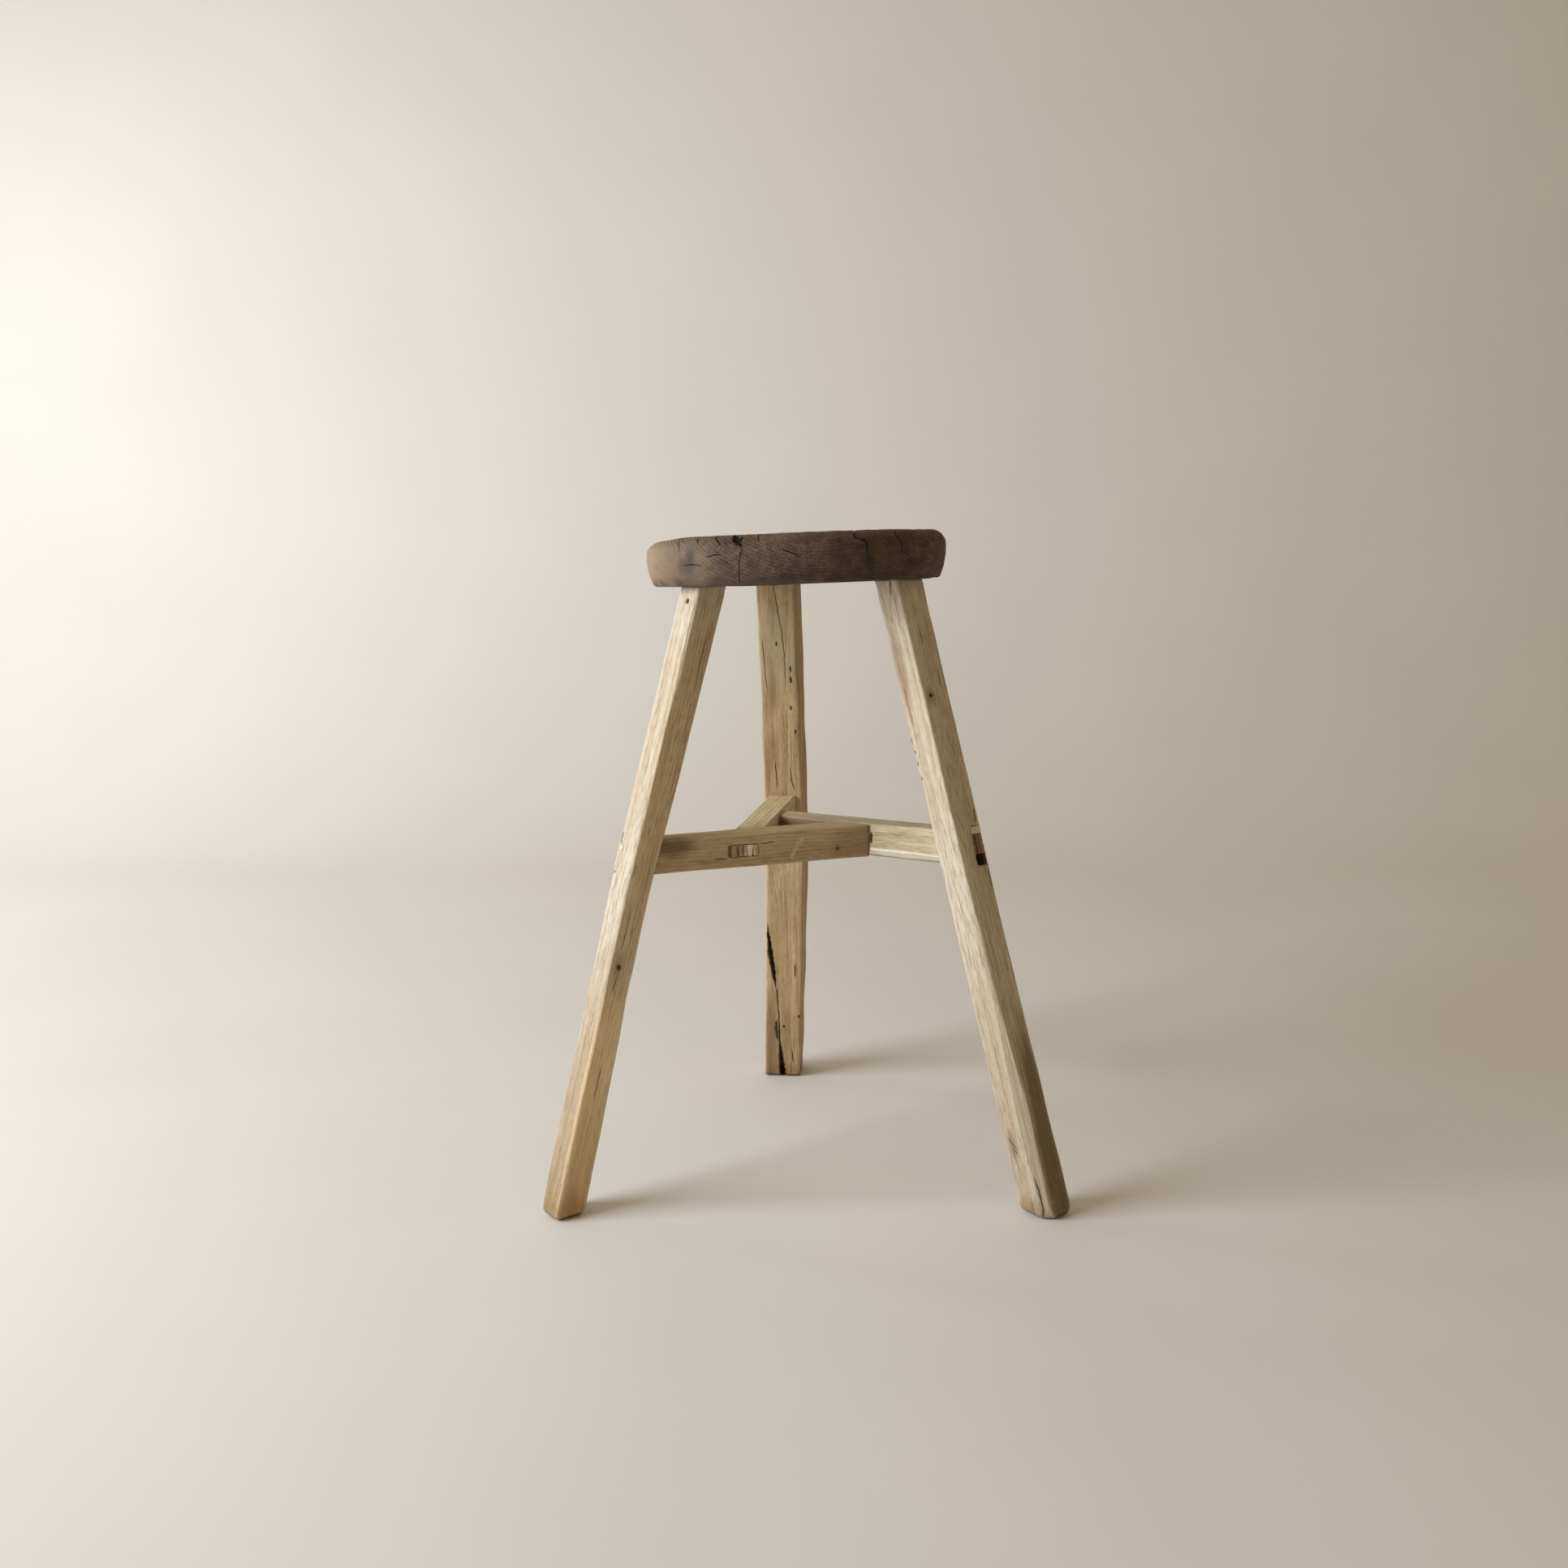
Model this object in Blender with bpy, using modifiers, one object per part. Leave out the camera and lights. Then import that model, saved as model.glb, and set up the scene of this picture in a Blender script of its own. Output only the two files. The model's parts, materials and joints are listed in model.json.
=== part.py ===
"""A rustic three-legged high stool: a round slab seat, three splayed hewn legs with through tenons,
and three stretchers joined head to side in a pinwheel. Metres, +Z up, standing on z = 0, with the
origin under the middle of its footprint. The view from -Y shows two legs in front, one behind."""

import math

import bmesh
import bpy
from mathutils import Matrix, Vector

# Clearance kept between pieces that touch, and how far a cutter or a joined block runs on past a cut.
GAP = 0.0003
OVERRUN = 0.04
OVERLAP = 0.012

# Seat: a turned slab whose left side sits a little lower.
SEAT_CENTRE = (-0.0108, -0.0578)
SEAT_RADIUS = 0.161
SEAT_THICKNESS = 0.0506
SEAT_TOP_HEIGHT = 0.7001
SEAT_TILT = math.radians(1.9)
SEAT_TOP_ROUND = 0.015
SEAT_UNDERCUT = 0.006
SEAT_LOWER_ROUND = 0.003
SEAT_STEPS = 96

# Legs: hewn square posts with a slight bend at the knee. A size is the section's width along its
# own two directions, and a turn is the heading of the first of them.
KNEE_HEIGHT = 0.33
SHOULDER_HEIGHT = 0.645
LEG_ARRIS = 0.0022
LEGS = {
    "left": {
        "foot": (-0.2541, -0.2243),
        "head": (-0.1066, -0.1275),
        "bow": (-0.0059, 0.0),
        "sizes": ((0.0318, 0.0333), (0.0342, 0.0315), (0.0349, 0.0360)),
        "turns": (-53.2, -52.5),
        "tenon": (0.024, 0.024),
    },
    "right": {
        "foot": (0.2511, -0.2215),
        "head": (0.0975, -0.1206),
        "bow": (-0.0010, 0.0),
        "sizes": ((0.0368, 0.0369), (0.0371, 0.0369), (0.0370, 0.0373)),
        "turns": (-51.8, -52.3),
        "tenon": (0.025, 0.025),
    },
    "back": {
        "foot": (-0.0227, 0.2220),
        "head": (-0.0297, 0.0629),
        "bow": (0.0074, 0.0),
        "sizes": ((0.0465, 0.0463), (0.0466, 0.0466), (0.0448, 0.0453)),
        "turns": (-5.3, -11.0),
        "tenon": (0.028, 0.028),
    },
}

# Stretchers: each starts in its leg, passes the plan point "at" with its top at "top", and its head
# is tenoned through the stretcher named by "meets".
STRETCHER_ARRIS = 0.0012
CHAMFER_SLANT = math.radians(61)
STRETCHERS = {
    "front": {
        "leg": "left",
        "meets": "right",
        "at": (-0.0283, -0.1123),
        "top": 0.3873,
        "heading": 17.41,
        "rise": 1.2,
        "width": 0.0327,
        "height": 0.0358,
        "tail_lift": -0.002,
        "void_below": 0.0015,
        "wedge_shift": -0.003,
        "chamfer": 0.0,
    },
    "right": {
        "leg": "right",
        "meets": "back",
        "at": (0.0468, -0.0578),
        "top": 0.3883,
        "heading": 139.65,
        "rise": -2.22,
        "width": 0.0316,
        "height": 0.0359,
        "tail_lift": 0.0045,
        "void_below": 0.0115,
        "wedge_shift": 0.002,
        "chamfer": 0.008,
    },
    "back": {
        "leg": "back",
        "meets": "front",
        "at": (-0.0498, -0.0432),
        "top": 0.3871,
        "heading": 260.52,
        "rise": -0.59,
        "width": 0.0312,
        "height": 0.0355,
        "tail_lift": 0.0,
        "void_below": 0.002,
        "wedge_shift": 0.0066,
        "chamfer": 0.0,
    },
}

# Joints between the pieces.
TENON_RECESS = 0.0005
SLOT_SPARE = 0.002
SEAT_WEDGE_DEPTH = 0.026
SEAT_WEDGE_THICKNESS = (0.0010, 0.0036)
TAIL_TENON = (0.013, 0.0205)
TAIL_WEDGE_HEIGHT = (0.0015, 0.0085)
HEAD_TENON_THICKNESS = 0.012
HEAD_SHOULDER = 0.0012
HEAD_WEDGE_DEPTH = 0.026
HEAD_WEDGE_THICKNESS = (0.0014, 0.0056)

# Nail that pins the left leg's tenon, driven through the leg's outer face.
NAIL_HEIGHT = 0.631
NAIL_SHIFT = 0.0015
NAIL_SHANK = (0.0012, 0.022)
NAIL_HEAD = (0.0023, 0.0014)
NAIL_POINT = 0.004
NAIL_STEPS = 16

FINISHES = {
    "seat": ((0.17, 0.115, 0.085), 0.8, 0.0),
    "leg": ((0.58, 0.46, 0.30), 0.75, 0.0),
    "stretcher": ((0.50, 0.39, 0.25), 0.75, 0.0),
    "wedge": ((0.62, 0.52, 0.37), 0.8, 0.0),
    "nail": ((0.09, 0.065, 0.055), 0.6, 0.8),
}


def clear_scene():
    for thing in list(bpy.data.objects):
        bpy.data.objects.remove(thing, do_unlink=True)


def make_collection(name):
    collection = bpy.data.collections.new(name)
    bpy.context.scene.collection.children.link(collection)
    return collection


def finish_material(name, finish):
    colour, roughness, metallic = FINISHES[finish]
    material = bpy.data.materials.new(name)
    material.use_nodes = True
    shader = material.node_tree.nodes["Principled BSDF"]
    shader.inputs["Base Color"].default_value = (*colour, 1.0)
    shader.inputs["Roughness"].default_value = roughness
    shader.inputs["Metallic"].default_value = metallic
    return material


def add_object(name, bm, collection):
    mesh = bpy.data.meshes.new(name)
    bm.to_mesh(mesh)
    bm.free()
    thing = bpy.data.objects.new(name, mesh)
    thing.parent = root
    collection.objects.link(thing)
    return thing


def add_part(name, bm, finish):
    part = add_object(name, bm, parts)
    part.data.materials.append(finish_material(name, finish))
    return part


def add_cutter(name, bm):
    cutter = add_object(name, bm, cutters)
    cutter.hide_render = True
    cutter.display_type = "WIRE"
    return cutter


def combine(target, operation, tool):
    modifier = target.modifiers.new(operation.title() + " " + tool.name, "BOOLEAN")
    modifier.operation = operation
    modifier.solver = "EXACT"
    modifier.object = tool


def block(ends, middle=None):
    """A box drawn out between sections, each (centre, first direction, second direction, widths)."""
    bm = bmesh.new()
    bmesh.ops.create_cube(bm, size=1.0)
    sections = {-0.5: ends[0], 0.5: ends[1]}
    if middle:
        everything = bm.verts[:] + bm.edges[:] + bm.faces[:]
        bmesh.ops.bisect_plane(bm, geom=everything, plane_co=(0, 0, 0), plane_no=(0, 0, 1))
        sections[0.0] = middle
    for vert in bm.verts:
        centre, first, second, widths = sections[round(vert.co.z, 3)]
        vert.co = centre + first * (vert.co.x * widths[0]) + second * (vert.co.y * widths[1])
    bm.normal_update()
    return bm


def cut_off(bm, point, normal):
    """Removes what lies on the normal's side of a plane and closes the cut."""
    everything = bm.verts[:] + bm.edges[:] + bm.faces[:]
    cut = bmesh.ops.bisect_plane(bm, geom=everything, plane_co=point, plane_no=normal, clear_outer=True)
    rim = [item for item in cut["geom_cut"] if isinstance(item, bmesh.types.BMEdge)]
    bmesh.ops.contextual_create(bm, geom=rim)
    bm.normal_update()
    bmesh.ops.recalc_face_normals(bm, faces=bm.faces[:])


def soften(bm, width, direction=None):
    """Bevels every edge, or only the edges that run along a direction."""
    edges = bm.edges[:]
    if direction:
        spans = {edge: (edge.verts[1].co - edge.verts[0].co).normalized() for edge in edges}
        edges = [edge for edge in edges if abs(spans[edge].dot(direction)) > 0.9]
    bmesh.ops.bevel(bm, geom=edges, offset=width, segments=2, profile=0.5, affect="EDGES", material=-1)


def turned(name, outline, steps, finish):
    """A solid turned about Z from an outline of (radius, height) points, top to bottom."""
    bm = bmesh.new()
    verts = [bm.verts.new((radius, 0.0, height)) for radius, height in outline]
    for upper, lower in zip(verts, verts[1:]):
        bm.edges.new((upper, lower))
    part = add_part(name, bm, finish)
    screw = part.modifiers.new("Turn", "SCREW")
    screw.axis = "Z"
    screw.steps = steps
    screw.render_steps = steps
    screw.use_merge_vertices = True
    screw.merge_threshold = 0.00005
    screw.use_smooth_shade = False
    return part


# --- Seat -------------------------------------------------------------------------------------

def arc(centre, radius, start, end, count):
    angles = [math.radians(start + (end - start) * i / count) for i in range(count + 1)]
    return [(centre[0] + radius * math.cos(a), centre[1] + radius * math.sin(a)) for a in angles]


def seat_plane(depth):
    """A point and the upward normal of the seat's plane, this far below its top."""
    normal = Vector((-math.sin(SEAT_TILT), 0.0, math.cos(SEAT_TILT)))
    return Vector((*SEAT_CENTRE, SEAT_TOP_HEIGHT)) - normal * depth, normal


def make_seat():
    flat_top = SEAT_RADIUS - SEAT_TOP_ROUND
    flat_base = SEAT_RADIUS - SEAT_UNDERCUT - SEAT_LOWER_ROUND
    base = -SEAT_THICKNESS
    outline = [(0.0, 0.0)]
    outline += arc((flat_top, -SEAT_TOP_ROUND), SEAT_TOP_ROUND, 90, 0, 6)
    outline += [(SEAT_RADIUS, base / 2), (SEAT_RADIUS - SEAT_UNDERCUT / 3, base * 3 / 4)]
    outline += arc((flat_base, base + SEAT_LOWER_ROUND), SEAT_LOWER_ROUND, 0, -90, 3)
    outline += [(0.0, base)]
    seat = turned("seat", outline, SEAT_STEPS, "seat")
    seat.location = (*SEAT_CENTRE, SEAT_TOP_HEIGHT)
    seat.rotation_euler = (0.0, -SEAT_TILT, 0.0)
    return seat


# --- Legs -------------------------------------------------------------------------------------

def leg_section(leg, height):
    """Centre, the two directions across the post, and its widths, at a height above the floor."""
    foot, head = Vector(leg["foot"]), Vector(leg["head"])
    knee = foot.lerp(head, KNEE_HEIGHT / SHOULDER_HEIGHT) + Vector(leg["bow"])
    sizes = [Vector(size) for size in leg["sizes"]]
    if height < KNEE_HEIGHT:
        share = height / KNEE_HEIGHT
        plan, size = foot.lerp(knee, share), sizes[0].lerp(sizes[1], share)
    else:
        share = (height - KNEE_HEIGHT) / (SHOULDER_HEIGHT - KNEE_HEIGHT)
        plan, size = knee.lerp(head, share), sizes[1].lerp(sizes[2], share)
    low_turn, high_turn = leg["turns"]
    turn = math.radians(low_turn + (high_turn - low_turn) * height / SHOULDER_HEIGHT)
    first = Vector((math.cos(turn), math.sin(turn), 0.0))
    second = Vector((-math.sin(turn), math.cos(turn), 0.0))
    return Vector((*plan, height)), first, second, size


def leg_face(leg, height, outward):
    """A point and the outward normal of the post's face that looks most nearly along outward."""
    centre, first, second, size = leg_section(leg, height)
    above, first_above, second_above, size_above = leg_section(leg, height + OVERLAP)
    choices = []
    for side in (-1, 1):
        pairs = ((first, first_above, second), (second, second_above, first))
        for k, (axis, axis_above, along) in enumerate(pairs):
            point = centre + axis * side * size[k] / 2
            point_above = above + axis_above * side * size_above[k] / 2
            normal = (point_above - point).cross(along).normalized()
            normal = normal if normal.dot(axis) * side > 0 else -normal
            choices.append((axis.dot(outward) * side, point, normal))
    choices.sort(key=lambda choice: choice[0], reverse=True)
    return choices[0][1:], choices[1][1:]


def prism_on_leg(leg, low, high, low_widths, high_widths):
    """A block along the post's axis between two heights, with its own widths."""
    ends = []
    for height, widths in ((low, low_widths), (high, high_widths)):
        centre, first, second, _ = leg_section(leg, height)
        ends.append((centre, first, second, widths))
    return block(ends)


def make_leg(side, leg, seat):
    under, normal = seat_plane(SEAT_THICKNESS + GAP)
    tenon_end, _ = seat_plane(TENON_RECESS)
    above_seat = SEAT_TOP_HEIGHT + OVERLAP
    sections = [leg_section(leg, height) for height in (0.0, KNEE_HEIGHT, SHOULDER_HEIGHT + OVERLAP * 2)]
    bm = block((sections[0], sections[2]), sections[1])
    soften(bm, LEG_ARRIS)
    cut_off(bm, under, normal)
    part = add_part("leg_" + side, bm, "leg")

    first, second = leg["tenon"]
    low = SHOULDER_HEIGHT - OVERLAP
    tenon = prism_on_leg(leg, low, above_seat, (first, second), (first, second))
    cut_off(tenon, tenon_end, normal)
    combine(part, "UNION", add_cutter("tenon_head_" + side, tenon))
    loose = (first + 2 * GAP, second + 2 * GAP)
    hole = prism_on_leg(leg, low, above_seat, loose, loose)
    combine(seat, "DIFFERENCE", add_cutter("mortise_seat_" + side, hole))

    thin, thick = SEAT_WEDGE_THICKNESS
    top = leg_section(leg, SEAT_TOP_HEIGHT)[0]
    end_height = tenon_end.z - normal.x / normal.z * (top.x - tenon_end.x)
    start = end_height - SEAT_WEDGE_DEPTH
    grow = (thick - thin) / SEAT_WEDGE_DEPTH * (above_seat - end_height)
    wedge = prism_on_leg(leg, start, above_seat, (first, thin), (first, thick + grow))
    cut_off(wedge, tenon_end, normal)
    add_part("wedge_seat_" + side, wedge, "wedge")
    wide = first + 2 * SLOT_SPARE
    low_slot, high_slot = (wide, thin + 2 * GAP), (wide, thick + grow + 2 * GAP)
    slot = prism_on_leg(leg, start - GAP, above_seat, low_slot, high_slot)
    combine(part, "DIFFERENCE", add_cutter("slot_seat_" + side, slot))
    return part


# --- Stretchers -------------------------------------------------------------------------------

class Bar:
    """The straight bar of a stretcher: its axes, and points on it."""

    def __init__(self, values):
        self.values = values
        heading, rise = math.radians(values["heading"]), math.radians(values["rise"])
        level = Vector((math.cos(heading), math.sin(heading), 0.0))
        self.along = level * math.cos(rise) + Vector((0.0, 0.0, math.sin(rise)))
        self.inward = Vector((-math.sin(heading), math.cos(heading), 0.0))
        self.up = self.along.cross(self.inward)
        self.centre = Vector((*values["at"], values["top"] - values["height"] / 2))

    def point(self, distance, inward=0.0, up=0.0):
        return self.centre + self.along * distance + self.inward * inward + self.up * up

    def reach(self, point, normal):
        """Distance along the centre line to a plane."""
        return (point - self.centre).dot(normal) / self.along.dot(normal)

    def prism(self, start, end, widths, end_widths=None, shift=(0.0, 0.0), end_shift=None):
        end_widths = end_widths or widths
        end_shift = end_shift or shift
        return block((
            (self.point(start, *shift), self.inward, self.up, widths),
            (self.point(end, *end_shift), self.inward, self.up, end_widths),
        ))


def side_face(bar, side):
    """A point and the outward normal of a bar's inner (+1) or outer (-1) side."""
    return bar.point(0.0, side * bar.values["width"] / 2), bar.inward * side


def make_stretcher(name, bars, legs, stretchers):
    bar = bars[name]
    values = bar.values
    leg = LEGS[values["leg"]]
    next_bar = bars[values["meets"]]
    width, height = values["width"], values["height"]

    (leg_point, leg_normal), _ = leg_face(leg, bar.centre.z, bar.along)
    shoulder = bar.reach(leg_point, leg_normal)
    (far_point, far_normal), (side_point, side_normal) = leg_face(leg, bar.centre.z, -bar.along)
    tail = bar.reach(far_point, far_normal)
    inner_point, inner_normal = side_face(next_bar, 1)
    outer_point, outer_normal = side_face(next_bar, -1)
    head = bar.reach(inner_point, inner_normal)
    tip = bar.reach(outer_point, outer_normal)

    bm = bar.prism(shoulder - OVERRUN, head + OVERRUN, (width, height))
    soften(bm, STRETCHER_ARRIS, bar.along)
    cut_off(bm, leg_point + leg_normal * GAP, -leg_normal)
    cut_off(bm, inner_point + inner_normal * GAP, -inner_normal)
    if values["chamfer"]:
        edge = bar.point(0.0, width / 2, values["chamfer"] - height / 2)
        cut_off(bm, edge, bar.inward * math.cos(CHAMFER_SLANT) - bar.up * math.sin(CHAMFER_SLANT))
    part = stretchers[name] = add_part("stretcher_" + name, bm, "stretcher")

    # Upright tenon through the leg, with its wedge driven above it.
    thick, tall = TAIL_TENON
    lift = values["tail_lift"]
    bm = bar.prism(tail - OVERRUN, shoulder + OVERLAP, (thick, tall), shift=(0.0, lift))
    cut_off(bm, far_point, far_normal)
    cut_off(bm, side_point, side_normal)
    combine(part, "UNION", add_cutter("tenon_tail_" + name, bm))

    low_wedge, high_wedge = TAIL_WEDGE_HEIGHT
    top = lift + tall / 2 + GAP
    slope = (high_wedge - low_wedge) / (shoulder - tail)

    def wedge_block(grow, start, end, foot):
        sizes = [low_wedge + slope * (shoulder - at) + grow for at in (start, end)]
        shifts = [(0.0, foot + size / 2) for size in sizes]
        widths = [(thick + grow, size) for size in sizes]
        return bar.prism(start, end, widths[0], widths[1], shifts[0], shifts[1])

    bm = wedge_block(0.0, tail - OVERRUN, shoulder - GAP, top)
    cut_off(bm, far_point, far_normal)
    cut_off(bm, side_point, side_normal)
    add_part("wedge_tail_" + name, bm, "wedge")
    void = values["void_below"]
    hole = (thick + 2 * GAP, tall + void + 2 * GAP)
    bm = bar.prism(tail - OVERRUN, shoulder + OVERLAP, hole, shift=(0.0, lift - void / 2))
    combine(legs[values["leg"]], "DIFFERENCE", add_cutter("mortise_tail_" + name, bm))
    bm = wedge_block(2 * GAP, tail - OVERRUN, shoulder + SLOT_SPARE, top - 2 * GAP)
    combine(legs[values["leg"]], "DIFFERENCE", add_cutter("mortise_wedge_" + name, bm))

    # Level tenon of the bar's full width, through the next stretcher, spread by an upright wedge.
    wide = width - 2 * HEAD_SHOULDER
    bm = bar.prism(head - OVERLAP, tip + OVERRUN, (wide, HEAD_TENON_THICKNESS))
    cut_off(bm, outer_point, outer_normal)
    combine(part, "UNION", add_cutter("tenon_head_of_" + name, bm))

    thin, fat = HEAD_WEDGE_THICKNESS
    start = tip - HEAD_WEDGE_DEPTH
    shift = (values["wedge_shift"], 0.0)
    fat += (fat - thin) / HEAD_WEDGE_DEPTH * OVERRUN
    tall = HEAD_TENON_THICKNESS
    bm = bar.prism(start, tip + OVERRUN, (thin, tall), (fat, tall), shift)
    cut_off(bm, outer_point, outer_normal)
    add_part("wedge_head_" + name, bm, "wedge")
    tall += 2 * SLOT_SPARE
    bm = bar.prism(start - GAP, tip + OVERRUN, (thin + 2 * GAP, tall), (fat + 2 * GAP, tall), shift)
    combine(part, "DIFFERENCE", add_cutter("slot_head_" + name, bm))


def make_head_mortise(name, bars, stretchers):
    bar = bars[name]
    target = bar.values["meets"]
    head = bar.reach(*side_face(bars[target], 1))
    tip = bar.reach(*side_face(bars[target], -1))
    wide = bar.values["width"] - 2 * HEAD_SHOULDER + 2 * GAP
    bm = bar.prism(head - OVERLAP, tip + OVERLAP, (wide, HEAD_TENON_THICKNESS + 2 * GAP))
    combine(stretchers[target], "DIFFERENCE", add_cutter("mortise_head_" + name, bm))


# --- Nail -------------------------------------------------------------------------------------

def make_nail(leg, part):
    centre, first, second, _ = leg_section(leg, NAIL_HEIGHT)
    (point, normal), _ = leg_face(leg, NAIL_HEIGHT, -second)
    place = point + first * NAIL_SHIFT - normal * GAP
    turn = Vector((0.0, 0.0, 1.0)).rotation_difference(normal).to_matrix().to_4x4()
    shank, length = NAIL_SHANK
    head, thickness = NAIL_HEAD
    outline = [(0.0, 0.0), (head, 0.0), (head, -thickness), (shank, -thickness)]
    outline += [(shank, NAIL_POINT - length), (0.0, -length)]
    nail = turned("nail_left", outline, NAIL_STEPS, "nail")
    nail.matrix_local = Matrix.Translation(place) @ turn

    for name, radius, depth in (("nail_head_hole", head, thickness), ("nail_shank_hole", shank, length)):
        bm = bmesh.new()
        wide, bottom = radius + 2 * GAP, depth + GAP
        bmesh.ops.create_cone(
            bm, cap_ends=True, segments=NAIL_STEPS, radius1=wide, radius2=wide, depth=bottom + OVERLAP
        )
        bmesh.ops.translate(bm, vec=(0, 0, (OVERLAP - bottom) / 2), verts=bm.verts[:])
        hole = add_cutter(name, bm)
        hole.matrix_local = Matrix.Translation(place) @ turn
        combine(part, "DIFFERENCE", hole)


# --- Assembly ---------------------------------------------------------------------------------

def stand_on_origin():
    """Moves the whole stool so that its box is centred over the origin and stands on z = 0."""
    bpy.context.view_layer.update()
    depsgraph = bpy.context.evaluated_depsgraph_get()
    corners = []
    for part in parts.objects:
        shown = part.evaluated_get(depsgraph)
        corners += [shown.matrix_world @ vert.co for vert in shown.data.vertices]
    low = [min(corner[axis] for corner in corners) for axis in range(3)]
    high = [max(corner[axis] for corner in corners) for axis in range(3)]
    root.location = (-(low[0] + high[0]) / 2, -(low[1] + high[1]) / 2, -low[2])


clear_scene()
parts = make_collection("three_legged_stool")
cutters = make_collection("cutters")
root = bpy.data.objects.new("stool_frame", None)
bpy.context.scene.collection.objects.link(root)

seat = make_seat()
legs = {side: make_leg(side, leg, seat) for side, leg in LEGS.items()}
bars = {name: Bar(values) for name, values in STRETCHERS.items()}
stretchers = {}
for name in bars:
    make_stretcher(name, bars, legs, stretchers)
for name in bars:
    make_head_mortise(name, bars, stretchers)
make_nail(LEGS["left"], legs["left"])
stand_on_origin()
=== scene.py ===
import json
from math import cos, radians, sin

import bmesh
import bpy
import numpy as np
from mathutils import Matrix, Vector, kdtree, noise
from mathutils.bvhtree import BVHTree


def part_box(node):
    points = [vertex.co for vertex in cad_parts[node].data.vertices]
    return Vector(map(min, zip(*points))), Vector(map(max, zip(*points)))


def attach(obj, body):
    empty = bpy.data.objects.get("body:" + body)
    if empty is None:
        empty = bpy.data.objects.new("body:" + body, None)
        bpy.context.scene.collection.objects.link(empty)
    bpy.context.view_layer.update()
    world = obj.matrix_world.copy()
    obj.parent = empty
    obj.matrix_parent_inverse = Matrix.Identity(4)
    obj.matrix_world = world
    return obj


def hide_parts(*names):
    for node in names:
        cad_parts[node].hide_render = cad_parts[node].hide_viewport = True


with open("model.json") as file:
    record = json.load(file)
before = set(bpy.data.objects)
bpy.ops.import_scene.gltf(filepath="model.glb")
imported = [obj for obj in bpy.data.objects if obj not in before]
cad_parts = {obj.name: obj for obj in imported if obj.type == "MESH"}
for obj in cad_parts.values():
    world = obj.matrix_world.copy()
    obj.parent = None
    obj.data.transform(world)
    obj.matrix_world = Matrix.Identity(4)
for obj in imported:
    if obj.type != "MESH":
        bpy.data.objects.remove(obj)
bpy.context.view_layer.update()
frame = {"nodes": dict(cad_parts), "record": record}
mounts = {mount["name"]: mount for mount in frame["record"]["mounts"]}
print("frame: loaded,", len(frame["nodes"]), "nodes")


# camera, at the height of a person sitting on the floor, looking slightly down

cameraPlan = {
    "place": (-0.0234, -1.726, 0.68),
    "tiltDown": 8.617,  # degrees
    "lens": 35,
    "filmWidth": 36,
}


def placeCamera(plan):
    data = bpy.data.cameras.new("camera")
    data.lens = plan["lens"]
    data.sensor_width = plan["filmWidth"]
    camera = bpy.data.objects.new("camera", data)
    camera.location = plan["place"]
    camera.rotation_euler = (radians(90 - plan["tiltDown"]), 0, 0)
    bpy.context.scene.collection.objects.link(camera)
    bpy.context.scene.camera = camera


placeCamera(cameraPlan)
print("camera: placed")


# shader tools


class Wire:
    # one output socket; + - * / and ** on it add the Math nodes
    def __init__(self, shader, socket):
        self.shader = shader
        self.socket = socket

    def __add__(self, other):
        return self.shader.math("ADD", self, other)

    def __radd__(self, other):
        return self.shader.math("ADD", other, self)

    def __sub__(self, other):
        return self.shader.math("SUBTRACT", self, other)

    def __rsub__(self, other):
        return self.shader.math("SUBTRACT", other, self)

    def __mul__(self, other):
        return self.shader.math("MULTIPLY", self, other)

    def __truediv__(self, other):
        return self.shader.math("DIVIDE", self, other)

    def __pow__(self, other):
        return self.shader.math("POWER", self, other)


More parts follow.
